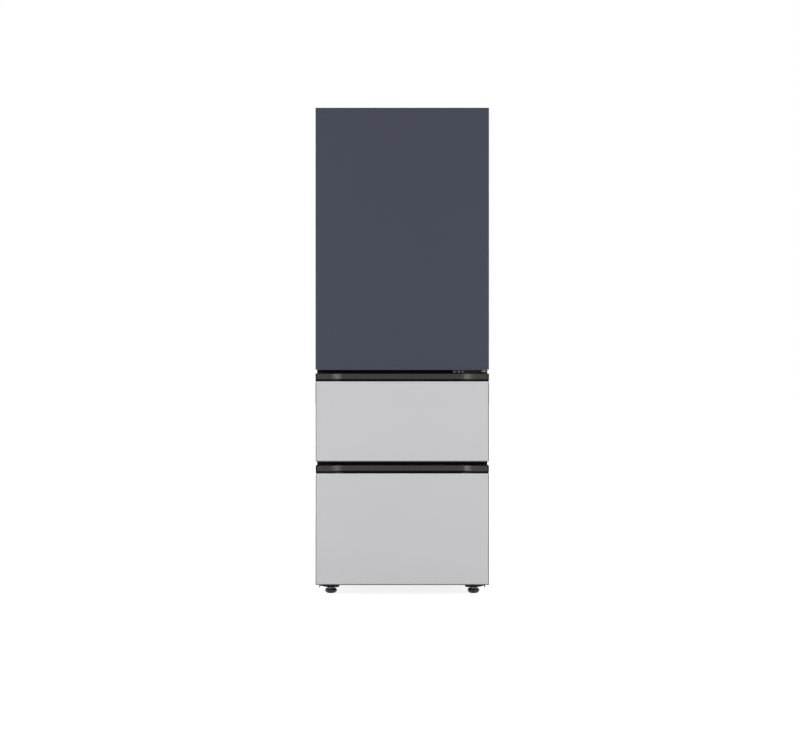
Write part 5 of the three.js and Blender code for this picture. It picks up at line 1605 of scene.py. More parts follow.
@dataclass
class SyncShaft:
    """The rod with a pinion at each end that keeps the deep drawer level."""

    node: str = "lower_sync_shaft"
    module: float = 3.0
    teeth: int = 12
    pressure: float = 20.0
    face: float = 7.0
    rod: float = 5.0
    tip_rise: float = 2.5
    root_fall: float = 2.6
    backlash: float = 0.6

    def tooth_outline(self) -> list[Flat]:
        """The pinion's outline about its own middle, with involute flanks."""
        pitch = self.module * self.teeth / 2
        slope = math.radians(self.pressure)
        base = pitch * math.cos(slope)
        root, tip = pitch - self.root_fall, pitch + self.tip_rise

        def involute(angle: float) -> float:
            """The involute of an angle."""
            return math.tan(angle) - angle

        at_base = (math.pi * self.module / 2 - self.backlash) / (2 * pitch) + involute(slope)
        radii = [root] + [base + (tip - base) * i / 4 for i in range(1, 5)]
        flank = [(r, at_base - involute(math.acos(min(1.0, base / r)))) for r in radii]
        points = []
        for number in range(self.teeth):
            middle = -math.pi / 2 + 2 * math.pi * number / self.teeth
            both = [(r, -a) for r, a in flank] + [(r, a) for r, a in reversed(flank)]
            points += [(r * math.cos(middle + a), r * math.sin(middle + a)) for r, a in both]
        return points

    def build(self) -> None:
        """Makes the rod and the two pinions."""
        room = Room.of(self.node)
        _, y, z = room.centre()
        half = room.x[1]
        rod = Blank()
        end = [(0, half), (self.rod - 0.8, half), (self.rod, half - 0.8)]
        rod.turned([(r, -x) for r, x in end] + end[::-1], (0, y, z), Way.X, 24)
        rod.release("sync_rod", self.node, STEEL, [self.node])
        gears = Blank()
        outline = [(y + u, z + v) for u, v in self.tooth_outline()]
        inner = half - self.face
        for sign in (-1, 1):
            gears.slab(outline, on_side(sign, inner, half - 0.1), Way.X, 0.35)
            near, far = sign * (inner - 6), sign * (half - 2)
            hub = [(self.rod, near), (self.rod + 3, near), (self.rod + 3, far), (self.rod, far)]
            gears.turned(hub, (0, y, z), Way.X, 24, ring=True)
        gears.release("sync_pinions", self.node, GEAR)


@dataclass
class Drawer:
    """A drawer with its front, basket, gasket and slides."""

    name: str
    geared: bool
    raised_half: float = 225.0
    raised_inset: float = 33.0
    raised_round: float = 7.0

    def build(self) -> None:
        """Makes the drawer's pieces."""
        body = f"{self.name}_drawer"
        FrontPanel(f"{self.name}_panel", body, PALE_GREY).build()
        Casing(f"{self.name}_casing", body, EDGE).build()
        HandleTrim(f"{self.name}_handle_trim", body).build()
        self.build_inner(f"{self.name}_front_liner", body)
        Gasket(f"{self.name}_gasket", body).build()
        Basket(f"{self.name}_basket", body).build()
        SlidePair(self.name, self.geared).build()
        if self.geared:
            for side in ("left", "right"):
                KimchiContainer(f"container_{side}").build()
            SyncShaft().build()

    def build_inner(self, node: str, body: str) -> None:
        """The front's inner panel with its raised face, and the foam behind it.

        Args:
            node: the CAD node.
            body: the body that it rides on.
        """
        room = Room.of(node)
        gasket = Room.of(f"{self.name}_gasket")
        trim = Room.of(f"{self.name}_handle_trim")
        field, crest = gasket.y[0] - FIT, room.y[1]
        panel = Blank()
        panel.block(room.x, (field - 2, field), room.z, 0.9, 3)
        r = self.raised_round
        rise = [(field - 0.5, -3.5), (field + 0.2, -3.2), (field + 1.4, -1.4), (field + 3.5, 0)]
        rise += [(crest - r + r * math.sin(turn), 0.6 + r - r * math.cos(turn)) for turn in quarter(5)]
        panel.stack(around(0, self.raised_half), shrunk(gasket.z, self.raised_inset), 18, rise, Way.Y)
        panel.release(f"{self.name}_inner_panel", body, LINER, [node])
        foam = Blank()
        foam.block(room.x, (room.y[0], field - 2), (room.z[0], trim.z[0] - FIT), 0.4)
        foam.release(f"{self.name}_foam", body, FOAM)


# ---- Cabinet ----------------------------------------------------------------------------


@dataclass
class Liner:
    """A moulded inner liner with round corners and a flange behind the front frame."""

    name: str
    radius: float = 16.0
    wall: float = 2.0
    step: Optional[Flat] = None  # Y and height of the floor's step over the machine room
    ledges: int = 0
    ledge_reach: float = 11.0
    ledge_height: float = 8.0

    def build(self) -> None:
        """Makes the tub with its flange and its shelf ledges."""
        node = f"{self.name}_liner"
        room = Room.of(node)
        blank = Blank()
        levels = self.levels(room)
        outer = [self.ring(room, y, low, inset, inset) for y, low, inset in levels]
        inner = []
        for i, (y, low, inset) in enumerate(levels):
            one, two = levels[max(0, i - 1)], levels[min(len(levels) - 1, i + 1)]
            climb = math.atan2(two[1] - one[1] + two[2] - one[2], two[0] - one[0])
            draw = math.atan2(two[2] - one[2], two[0] - one[0])
            if i == len(levels) - 1:
                climb = draw = math.pi / 2
            floor, side = inset + self.wall * math.cos(climb), inset + self.wall * math.cos(draw)
            inner.append(self.ring(room, y - self.wall * math.sin(climb), low, floor, side))
        blank.skin(outer[::-1] + inner)
        self.add_flange(blank, room)
        for number in range(1, self.ledges + 1):
            self.add_ledges(blank, room, Room.of(f"glass_shelf_{number}"))
        blank.release(f"{node}_moulded", "cabinet", LINER, [node])

    def levels(self, room: Room) -> list[Point]:
        """Sections from the front to the back.

        Args:
            room: the liner's room.

        Returns:
            (Y, height of the floor, inset) of each section.
        """
        front, back = room.y
        floor = room.z[0]
        found = [(front, floor, 0.0)]
        if self.step is not None:
            y, high = self.step
            hollow = ((-9, 0), (-4, 1), (-1, 4), (-0.4, 9))
            crest = ((0, -9), (1, -4), (4, -1), (9, 0))
            found += [(y + along, floor + rise, 0.0) for along, rise in hollow]
            found += [(y + along, high + rise, 0.0) for along, rise in crest]
            floor = high
        bend = ((9.0, 0.0), (4.0, 1.5), (0.6, 5.0), (0.0, 9.0))
        return found + [(back - away, floor, inset) for away, inset in bend]

    def ring(self, room: Room, y: float, low: float, floor: float, inset: float) -> list[Point]:
        """One section: a rounded rectangle in the liner's room.

        Args:
            room: the liner's room.
            y: where it stands.
            low: height of the floor's outside.
            floor: how far above that the section starts.
            inset: how far it is drawn in at the sides and the ceiling.

        Returns:
            Its points.
        """
        x, z = shrunk(room.x, inset), (low + floor, room.z[1] - inset)
        return [(u, y, v) for u, v in round_rectangle(x, z, max(3.0, self.radius - inset), 6)]

    def add_flange(self, blank: Blank, room: Room) -> None:
        """The flat ring that fills the frame's square corners.

        Args:
            blank: the liner on the bench.
            room: the liner's room.
        """
        x, z = shrunk(room.x, self.wall), shrunk(room.z, self.wall)
        path = [(u, 0.0, v) for u, v in round_rectangle(x, z, self.radius - self.wall, 6)]
        front = room.y[0] - 0.25
        section = [(-8, front), (0.2, front), (0.2, front + 1), (-8, front + 1)]
        blank.sweep(section, path, up=(0, 1, 0), loop=True)

    def add_ledges(self, blank: Blank, room: Room, shelf: Room) -> None:
        """The pair of ledges that a shelf lies on.

        Args:
            blank: the liner on the bench.
            room: the liner's room.
            shelf: the shelf's room.
        """
        top = shelf.z[1] - 15.3
        wall = room.x[1] - self.wall
        inner = wall - self.ledge_reach
        high = self.ledge_height
        outline = [(wall + 1, top), (inner, top), (inner, top - high / 2), (wall + 1, top - high)]
        for sign in (-1, 1):
            blank.slab([(sign * x, z) for x, z in outline], shrunk(shelf.y, 2), Way.Y, 0.9, 3)


@dataclass
class Shelf:
    """A glass shelf with a bright front trim and a rear stop."""

    node: str
    glass: float = 5.0
    stop: float = 10.0
    ledge: float = 13.0

    def build(self) -> None:
        """Makes the glass, the trim and the stop."""
        room = Room.of(self.node)
        x, (front, rear), (low, high) = room.x, room.y, room.z
        top = high - self.stop
        under = top - self.glass
        plate = Blank()
        plate.block(x, (front + 5, rear - 2), (under, top), 1.2, 3)
        plate.release(f"{self.node}_plate", "cabinet", GLASS, [self.node])
        trim = Blank()
        nose = [(12, 0.6), (2.5, 0.6), (0, -1.5), (0, -5.6), (12, -5.6)]
        trim.slab([(front + y, top + z) for y, z in nose], x, Way.X, 0.7, 3)
        apron = [(front + 0.2, top - 4), (front + 0.2, low + 1.5), (front + 1.5, low), (front + 5, low)]
        trim.slab(apron + [(front + 5, top - 4)], shrunk(x, self.ledge), Way.X, 0.7, 3)
        trim.release(f"{self.node}_nose", "cabinet", TRIM)
        stop = Blank()
        back = [(rear, under - 1.2), (rear, high), (rear - 3, high), (rear - 3, top + 0.3)]
        back += [(rear - 10, top + 0.3), (rear - 10, under - 1.2)]
        stop.slab(back, x, Way.X, 0.6, 3)
        stop.release(f"{self.node}_stop", "cabinet", BASKET)


@dataclass
class AirDuct:
    """The duct cover at the back: outlets with vanes, light strips and a sensor cap."""

    node: str = "air_duct_cover"
    strip: Flat = (96.0, 4.5)  # distance from the middle and half width of a light strip
    vanes: int = 12
    vane_pitch: float = 12.5
    cap_slots: int = 5

    def build(self) -> None:
        """Softens the cover, and adds vanes, light strips and the cap."""
        room = Room.of(self.node)
        front, top = room.y[0], room.z[1]
        soften(self.node, "cabinet", LINER, 1.2, 3)
        vanes = Blank()
        for each in self.outlets():
            for number in range(self.vanes):
                x = (number - (self.vanes - 1) / 2) * self.vane_pitch
                vanes.block(around(x, 0.8), (front + 0.6, front + 5), around(each, 14), 0.3)
        vanes.release("duct_vanes", "cabinet", BASKET)
        strips = Blank()
        centre, half = self.strip
        for sign in (-1, 1):
            strips.block(around(sign * centre, half), (front - 1.2, front + 1), shrunk(room.z, 60), 1.0, 3)
        strips.release("light_strips", "cabinet", LAMP)
        cap = Blank()
        cap.block((-28, 28), (front - 4, front + 1), (top - 66, top - 36), 2.2, 3)
        for number in range(self.cap_slots):
            z = top - 60 + number * 4.5
            cap.block((-20, 20), (front - 4.6, front - 3.6), (z, z + 1.6), 0.3)
        cap.release("sensor_cap", "cabinet", BASKET)

    def outlets(self) -> list[float]:
        """Heights of the middles of the pairs of outlets, from the shelves' heights."""
        shelf = [Room.of(f"glass_shelf_{number}").z[0] + 9 for number in (1, 2, 3)]
        pitch = shelf[1] - shelf[0]
        levels = [shelf[0] - pitch, *shelf, shelf[2] + pitch]
        return [(low + high) / 2 + 40 for low, high in zip(levels, levels[1:])]


@dataclass
class Console:
    """The control panel under the ceiling: a black touch strip with keys and a lamp."""

    node: str = "control_panel"
    keys: int = 5
    key_pitch: float = 34.0

    def build(self) -> None:
        """Softens the housing, and adds the strip, its keys and the lamp."""
        room = Room.of(self.node)
        soften(self.node, "cabinet", BASKET, 1.2, 3)
        drop = room.z[1] - room.z[0]
        fall = drop * 2 / 3
        slope = Matrix.Translation((0, room.y[0] + drop / 2, room.z[1] - fall))
        slope = slope @ Matrix.Rotation(-math.atan2(fall, drop), 4, "X")
        strip = Blank()
        strip.slab(round_rectangle((-128, 128), (-8.5, 8.5), 4), (-1.0, 0.2), Way.Z, 0.3)
        strip.move(slope)
        strip.release("touch_strip", "cabinet", TOUCH)
        keys = Blank()
        ring = [(4.6, -1.3), (5.2, -1.3), (5.2, -0.9), (4.6, -0.9)]
        dot = [(0, -1.35), (0.9, -1.3), (0.9, -0.9), (0, -0.9)]
        for number in range(self.keys):
            x = (number - (self.keys - 1) / 2) * self.key_pitch
            keys.turned(ring, (x, 0, 0), Way.Z, 28, ring=True)
            keys.turned(dot, (x, 6.6, 0), Way.Z, 12)
        keys.move(slope)
        keys.release("touch_marks", "cabinet", LAMP)
        lens = Blank()
        outline = round_rectangle((-100, 100), (room.y[0] + 40, room.y[0] + 96), 8)
        lens.slab(outline, (room.z[0] - 1.4, room.z[0] + 1), Way.Z, 0.8, 3)
        lens.release("ceiling_lens", "cabinet", LAMP)


@dataclass
class OuterCase:
    """The case: one folded sheet over sides and top, a pressed back, and its screws."""

    sheet: float = 1.0
    fold: float = 4.0
    bead: float = 3.0
    beads: tuple[float, ...] = (-240, -120, 0, 120, 240)

    def build(self) -> None:
        """Makes the wrap, the back with beads, spacers, plugs and screws."""
        room = Room.of("outer_case")
        half, (foot, top) = room.x[1], room.z
        wrap = Blank()
        outer = self.arch(half, room.z, self.fold)
        inner = self.arch(half - self.sheet, (foot, top - self.sheet), self.fold - self.sheet)
        wrap.slab(outer + inner[::-1], room.y, Way.Y, 0.25)
        wrap.release("folded_case", "cabinet", CASE, ["outer_case"])
        self.build_back()

    def arch(self, half: float, z: Span, radius: float) -> list[Flat]:
        """An upside-down U from its right foot to its left foot.

        Args:
            half: half its width.
            z: height of its feet and of its top.
            radius: radius of its two bends.

        Returns:
            Its (x, z) points.
        """
        points = [(half, z[0])]
        for start, centre in ((0.0, half - radius), (math.pi / 2, radius - half)):
            for turn in quarter(4):
                x, rise = radius * math.cos(start + turn), radius * math.sin(start + turn)
                points.append((centre + x, z[1] - radius + rise))
        return points + [(-half, z[0])]

    def build_back(self) -> None:
        """The back: a sheet with pressed beads, two spacers, foam plugs and screws."""
        room = Room.of("back_panel")
        face = Room.of("outer_case").y[1]
        back = Blank()
        back.block(room.x, (face - 1, face), room.z, 0.3)
        length = (room.z[0] + 90, room.z[1] - 190)
        for centre in self.beads:
            back.block(around(centre, 13), (face - 2.9, face + self.bead), length, 2.9, 4)
        back.release("pressed_back", "cabinet", ZINC, ["back_panel"])
        spacers = Blank()
        top = room.z[1] - 60
        section = [(face - 0.5, top - 48), (face + 12, top - 36), (face + 12, top)]
        section.append((face - 0.5, top + 12))
        for sign in (-1, 1):
            spacers.slab(section, on_side(sign, 180, 240), Way.X, 2.4, 3)
        spacers.release("wall_spacers", "cabinet", BLACK)
        fixings = Blank()
        for x in (-314, 314):
            for number in range(6):
                z = room.z[0] + 24 + number * (room.z[1] - room.z[0] - 48) / 5
                fixings.screw((x, face, z), Way.Y, 1, 4.5)
        for x in (-180, 0, 180):
            fixings.screw((x, face, room.z[1] - 14), Way.Y, 1, 4.5)
        fixings.release("back_screws", "cabinet", ZINC)
        plugs = Blank()
        plug = [(0, 0), (15, 0), (15, 1.2), (12, 2.6), (0, 2.8)]
        for x, z in ((-180, 330), (180, 330), (0, 1790)):
            plugs.turned(plug, (x, face - 0.2, z), Way.Y, 32)
        plugs.release("foam_plugs", "cabinet", BLACK)


@dataclass
class Hinges:
    """Top hinge with its cover, and the middle hinge in the gap under the door."""

    def build(self) -> None:
        """Softens the stampings and adds the bright washer and screws."""
        soften("top_hinge", "cabinet", ZINC, 0.5)
        soften("top_hinge_cover", "cabinet", BLACK, 0.8, 3)
        soften("middle_hinge", "cabinet", BLACK_STEEL, 0.4)
        room = Room.of("middle_hinge")
        bright = Blank()
        pin_x, pin_y = room.x[1] - 12, room.y[0] + 12
        washer = [(5.2, -0.1), (9.6, -0.1), (9.6, 1.6), (8.4, 2.4), (5.2, 2.4)]
        bright.turned(washer, (pin_x, pin_y, room.z[0] + 7.0), Way.Z, 32, ring=True)
        for offset in (-109, -91, -77):
            bright.screw((pin_x + offset, room.y[1] - 2.2, room.centre()[2] - 10.3), Way.Y, -1, 4.4)
        bright.release("hinge_fixings", "cabinet", ZINC)


@dataclass
class Cabinet:
    """The case with its liners, shelves and panels."""

    shelves: int = 3
    liner_wall: float = 2.0

    def build(self) -> None:
        """Makes the cabinet's pieces."""
        OuterCase().build()
        dress("insulation_foam", FOAM)
        Liner("upper", ledges=self.shelves).build()
        Liner("middle").build()
        Liner("lower", step=(95.0, 308.0)).build()
        self.build_frame()
        for number in range(1, self.shelves + 1):
            Shelf(f"glass_shelf_{number}").build()
        AirDuct().build()
        Console().build()
        Hinges().build()

    def build_frame(self) -> None:
        """The front frame: two stiles, and rails over, under and between the compartments."""
        room = Room.of("front_frame")
        frame_bars = Blank()
        liners = [Room.of(f"{name}_liner") for name in ("lower", "middle", "upper")]
        inner = liners[0].x[1] - self.liner_wall
        for span in ((room.x[0], -inner), (inner, room.x[1])):
            frame_bars.block(span, room.y, room.z, 0.3)
        levels = [room.z[0]]
        for each in liners:
            levels += [each.z[0] + self.liner_wall, each.z[1] - self.liner_wall]
        levels.append(room.z[1])
        for low, high in zip(levels[::2], levels[1::2]):
            frame_bars.block((-inner, inner), room.y, (low, high), 0.3)
        frame_bars.release("front_frame_bars", "cabinet", BLACK_PAINT, ["front_frame"])


# ---- Machine room and undercarriage ---------------------------------------------------


@dataclass
class Compressor:
    """A hermetic compressor: welded shell, foot plates on grommets, and its terminal box."""

    node: str = "compressor"
    radius: float = 74.0
    body: float = 150.0
    foot: float = 14.0

    def build(self) -> None:
        """Makes the shell, the feet, the box and the tubes."""
        room = Room.of(self.node)
        r, base = self.radius, room.z[0]
        cx, cy, low = room.centre()[0], room.y[0] + r + 3, base + self.foot
        shell = Blank()
        shell.turned(self.profile(), (cx, cy, low), Way.Z, 56)
        soft = Blank()
        grommet = [(0, 0), (11, 0), (11.5, 2), (9, 5), (11.5, 8)]
        grommet += [(11, self.foot + 4.5), (5, self.foot + 5), (0, self.foot + 5)]
        for y in (cy - r * 0.7, cy + r * 0.7):
            outline = round_rectangle(around(cx, r + 20), around(y, 14), 9)
            shell.slab(outline, (low - 3, low + 2), Way.Z, 0.8)
            for x in (cx - r - 8, cx + r + 8):
                soft.turned(grommet, (x, y, base), Way.Z, 24)
        shell.release("compressor_shell", "cabinet", COMPRESSOR, [self.node])
        soft.release("compressor_grommets", "cabinet", RUBBER)
        box = Blank()
        box.block((cx - r - 14, cx - r + 12), around(cy, 28), (low + 40, low + 96), 5, 4)
        box.block((cx - r - 15.5, cx - r - 8), around(cy, 4), (low + 44, low + 92), 1.2)
        box.release("terminal_box", "cabinet", BLACK)
        self.add_tubes(cx, cy, low)

    def profile(self) -> list[Flat]:
        """The shell's (radius, height) points: domed ends and a welded seam."""
        r, top = self.radius, self.body
        seam = top * 0.47
        found = [(0, 0), (r * 0.7, 0)]
        found += [(r - 26 + 26 * math.sin(t), 26 - 26 * math.cos(t)) for t in (0.5, 0.8, 1.1, 1.4)]
        found += [(r, 30), (r, seam - 1), (r + 3, seam), (r + 3, seam + 8), (r, seam + 9.5)]
        found.append((r * 0.99, seam + 24))
        dome = ((0.96, 112), (0.88, 130), (0.7, 142), (0.45, 148.5), (0.2, top), (0, top))
        return found + [(r * share, height) for share, height in dome]

    def add_tubes(self, cx: float, cy: float, low: float) -> None:
        """The stubs, and the discharge line to the condenser.

        Args:
            cx: X of the compressor's axis.
            cy: Y of the compressor's axis.
            low: height of the shell's bottom.
        """
        tubes = Blank()
        for angle, height, reach in ((60, 60, 16), (20, 105, 16), (100, 105, 14)):
            turn = math.radians(angle)
            out = Vector((math.cos(turn), math.sin(turn), 0))
            base = Vector((cx, cy, low + height))
            bend = base + out * (self.radius + reach - 8)
            line = [base + out * (self.radius - 6), bend]
            line += [bend + out * away + Vector((0, 0, up)) for away, up in ((4, 2), (6, 7), (6, 26))]
            tubes.tube([tuple(p) for p in line], 3.6, 12)
        front = cy - 92
        route = [(cx - 30, cy - 66, low + 52), (cx - 40, front, low + 52), (cx - 70, front, low + 20)]
        route += [(-150, front, low + 12), (-196, front + 6, low + 12), (-212, cy - 74, low + 18)]
        tubes.tube(smooth_path(route, 6), 3.2, 10)
        tubes.release("refrigerant_tubes", "cabinet", COPPER)


def smooth_path(points: Sequence[Point], steps: int) -> list[Point]:
    """A smooth line through corner points, each corner cut by a quadratic bend.

    Args:
        points: the route's corners.
        steps: straight steps to a bend.

    Returns:
        The points of the line.
    """
    line = [points[0]]
    for before, here, after in zip(points, points[1:], points[2:]):
        start = Vector(before).lerp(Vector(here), 0.6)
        end = Vector(here).lerp(Vector(after), 0.4)
        for step in range(steps + 1):
            t = step / steps
            one, two = start.lerp(Vector(here), t), Vector(here).lerp(end, t)
            line.append(tuple(one.lerp(two, t)))
    return line + [points[-1]]


@dataclass
class Condenser:
    """A serpentine copper tube through a pack of thin fins, on a foot plate."""

    node: str = "condenser_coil"
    runs: int = 8
    pitch: float = 22.0
    length: float = 150.0
    tube: float = 4.0
    fin_half: float = 17.0
    fins: int = 26

    def build(self) -> None:
        """Makes the tube and the fins."""
        room = Room.of(self.node)
        cx, cy, _ = room.centre()
        base = room.z[0] + self.tube + 14
        bend = self.pitch / 2
        path = []
        for run in range(self.runs):
            half = self.length / 2 * (-1) ** run
            z = base + run * self.pitch
            path += [(cx, cy - half, z), (cx, cy + half, z)]
            if run < self.runs - 1:
                for step in range(1, 8):
                    turn = math.pi * step / 8
                    reach = half + math.copysign(bend, half) * math.sin(turn)
                    path.append((cx, cy + reach, z + bend * (1 - math.cos(turn))))
        tube = Blank()
        tube.tube(path, self.tube, 12)
        tube.release("condenser_tube", "cabinet", COPPER, [self.node])
        fins = Blank()
        foot, top = room.z[0] + 2, base + (self.runs - 1) * self.pitch + 14
        x = around(cx, self.fin_half)
        for number in range(self.fins):
            y = cy + self.length * 0.92 * (number / (self.fins - 1) - 0.5)
            fins.block(x, around(y, 0.3), (foot, top), 0)
        fins.slab(round_rectangle(x, around(cy, self.length / 2), 5), (room.z[0], foot), Way.Z, 0.4)
        fins.release("condenser_fins", "cabinet", TRIM)


@dataclass
class CoolingFan:
    """The condenser fan: five twisted blades on a domed hub, in its shroud."""

    node: str = "condenser_fan"
    blades: int = 5
    tip: float = 53.8
    hub: float = 17.0
    depth: float = 22.0

    def build(self) -> None:
        """Makes the fan and its shroud."""
        soften("fan_shroud", "cabinet", BLACK, 0.8)
        room = Room.of(self.node)
        cy = room.centre()[1]
        cx, _, cz = Room.of("fan_shroud").centre()
        blank = Blank()
        half = self.depth / 2
        profile = [(3.2, -half), (self.hub, -half), (self.hub, half - 6), (self.hub - 2, half - 2)]
        profile += [(self.hub - 6, half), (3.2, half)]
        blank.turned(profile, (cx, cy, cz), Way.Y, 40, ring=True)
        for number in range(self.blades):
            spin = Matrix.Rotation(2 * math.pi * number / self.blades, 4, "Y")
            rings = []
            for step in range(7):
                r = self.hub - 3 + (self.tip - self.hub + 3) * step / 6
                rings.append([tuple(Vector((cx, cy, cz)) + spin @ Vector(p)) for p in self.foil(r)])
            blank.skin(rings)
        blank.release("fan_wheel", self.node, BLACK, [self.node])

    def foil(self, radius: float) -> list[Point]:
        """The blade's section at a radius, before the blade is turned to its place."""
        chord = 30 * (0.75 + 0.25 * radius / 54)
        pitch = math.radians(52 - 24 * radius / 54)
        upper, lower = [], []
        for step in range(7):
            along = (step / 6 - 0.5) * chord
            thick = 1.1 * math.sqrt(max(0.0, 1 - (2 * step / 6 - 1) ** 2)) + 0.15
            camber = 0.012 * (along * along - 225)
            for side, keep in ((thick, upper), (-thick, lower)):
                lift = side - camber
                turn = (along * math.cos(pitch) - lift * math.sin(pitch)) / radius
                axial = (along * math.sin(pitch) + lift * math.cos(pitch)) * self.depth / 32
                keep.append((radius * math.cos(turn), axial, radius * math.sin(turn)))
        return upper + lower[::-1]


@dataclass
class MachineRoom:
    """Compressor, condenser, fan and their cover."""

    rows: int = 7
    row_pitch: float = 21.0
    first_row: float = 36.0
    slot: float = 5.0
    hood: float = 8.0
    column: Span = (35.0, 265.0)  # where the louvres start and end on each side
    gland_half: float = 8.5
    rim: float = 1.5

    def build(self) -> None:
        """Makes the machine room's pieces."""
        Compressor().build()
        Condenser().build()
        CoolingFan().build()
        soften("cord_gland", "cabinet", BLACK, 0.6, 3)
        self.build_cover()

    def build_cover(self) -> None:
        """Makes the louvred cover with its rim, and the screws."""
        room = Room.of("machine_room_cover")
        gland = Room.of("cord_gland").centre()[2]
        face = Room.of("outer_case").y[1]
        y = (face - 1, face)
        (low, high), half, gap = room.z, room.x[1], self.gland_half
        starts = [low + self.first_row + row * self.row_pitch for row in range(self.rows)]
        rows = [(start, start + self.slot) for start in starts]
        levels = [low, *(value for row in rows for value in row), high]
        inner, outer = self.column
        folded = (room.y[0], face - 0.5)
        cover = Blank()
        for sign in (-1, 1):
            column = on_side(sign, inner, outer)
            for near, far in ((outer, half), (gap, inner)):
                cover.block(on_side(sign, near, far), y, room.z, 0)
            for span in zip(levels[::2], levels[1::2]):
                cover.block(column, y, span, 0)
            for slot in rows:
                self.add_hood(cover, column, face, slot)
            cover.block(on_side(sign, half - self.rim, half), folded, (low + self.rim, high), 0.4)
        for span in ((low, gland - gap), (gland + gap, high)):
            cover.block((-gap, gap), y, span, 0)
        cover.block(shrunk(room.x, 1), folded, (high - self.rim, high), 0.4)
        cover.release("louvred_cover", "cabinet", ZINC, ["machine_room_cover"])
        screws = Blank()
        for x in (-316, 0, 316):
            for z in shrunk(room.z, 10):
                screws.screw((x, face, z), Way.Y, 1, 4.5)
        screws.release("cover_screws", "cabinet", STEEL)

    def add_hood(self, cover: Blank, x: Span, face: float, slot: Span) -> None:
        """A pressed hood over a louvre's slot, closed at both ends.

        Args:
            cover: the cover on the bench.
            x: the slot's ends.
            face: Y of the cover's face.
            slot: the slot's lower and upper edge.
        """
        root, top, tip = face - 0.6, slot[1] + 4, slot[0] + 1.5
        reach, drop = self.hood + 0.6, top - tip
        curve = [(root + reach * math.sin(t), top - drop * (1 - math.cos(t))) for t in quarter(6)]
        under = [(y - 1.1, z - 0.9) for y, z in curve]
        cover.slab(curve + under[::-1], shrunk(x, -1), Way.X, 0.3)
        cheek = [(root, slot[0] + 0.4), *reversed(curve)]
        for end in (x[0] - 1, x[1]):
            cover.slab(cheek, (end, end + 1), Way.X, 0.2)


@dataclass
class LevellingFoot:
    """A levelling foot: lobed pad, bright washer, nut and stud."""

    side: str
    pad: float = 21.0
    base: float = 16.0
    height: float = 19.0
    lobes: int = 9
    lobe_depth: float = 1.6
    stud: float = 5.0
    nut: float = 8.6
    inset: float = 52.0
    setback: float = 43.0

    def axis(self) -> Flat:
        """X and Y of the stud's axis, which the lobed pad's room isn't centred on."""
        sign = -1 if self.side == "left" else 1
        return sign * (Room.of("outer_case").x[1] - self.inset), Room.of("front_frame").y[0] + self.setback

    def build(self) -> None:
        """Makes the pad, the washer and the stud."""
        node = f"foot_{self.side}"
        room = Room.of(node)
        cx, cy = self.axis()
        pad = Blank()
        r, h = self.pad, self.height
        profile = [(0, 0), (self.base - 1, 0), (self.base, 0.6), (r - 1.5, 3.4), (r + 1, 6)]
        profile += [(r + 2.5, h * 0.5), (r + 1.6, h - 5), (r, h - 3), (r - 3, h - 0.8), (r - 6, h)]
        profile += [(self.stud + 6, h + 0.2), (self.stud, h + 0.4), (0, h + 0.4)]
        shell = pad.turned(profile, (cx, cy, 0), Way.Z, 108)
        self.carve_lobes(shell, cx, cy)
        pad.release(f"{node}_pad", node, RUBBER, [node])
        metal = Blank()
        top = room.z[1]
        washer = [(self.stud, 0.2), (14.5, 0.2), (14.5, 1.6), (13.6, 2), (self.stud, 2)]
        metal.turned(washer, (cx, cy, h), Way.Z, 40, ring=True)
        turns = [math.pi / 3 * side for side in range(6)]
        nut = [(cx + self.nut * math.cos(turn), cy + self.nut * math.sin(turn)) for turn in turns]
        metal.slab(nut, (h + 1.9, h + 6.8), Way.Z, 0.6)
        thread = [(0, h)]
        rise = h + 6
        while rise < top - 1.2:
            thread += [(self.stud - 0.7, rise), (self.stud, rise + 0.5)]
            rise += 1.0
        metal.turned(thread + [(self.stud - 0.8, top), (0, top)], (cx, cy, 0), Way.Z, 24)
        metal.release(f"{node}_stud", node, ZINC)

    def carve_lobes(self, shell: Iterable[bmesh.types.BMVert], cx: float, cy: float) -> None:
        """Draws the pad's rim in between its lobes.

        Args:
            shell: the pad's vertices.
            cx: X of its axis.
            cy: Y of its axis.
        """
        for vert in shell:
            x, y = vert.co.x - cx, vert.co.y - cy
            radius = math.hypot(x, y)
            if radius > self.base:
                weight = (radius - self.base) / (self.pad - self.base)
                dip = self.lobe_depth * weight * (1 - math.cos(self.lobes * math.atan2(y, x))) / 2
                vert.co.x, vert.co.y = cx + x * (1 - dip / radius), cy + y * (1 - dip / radius)


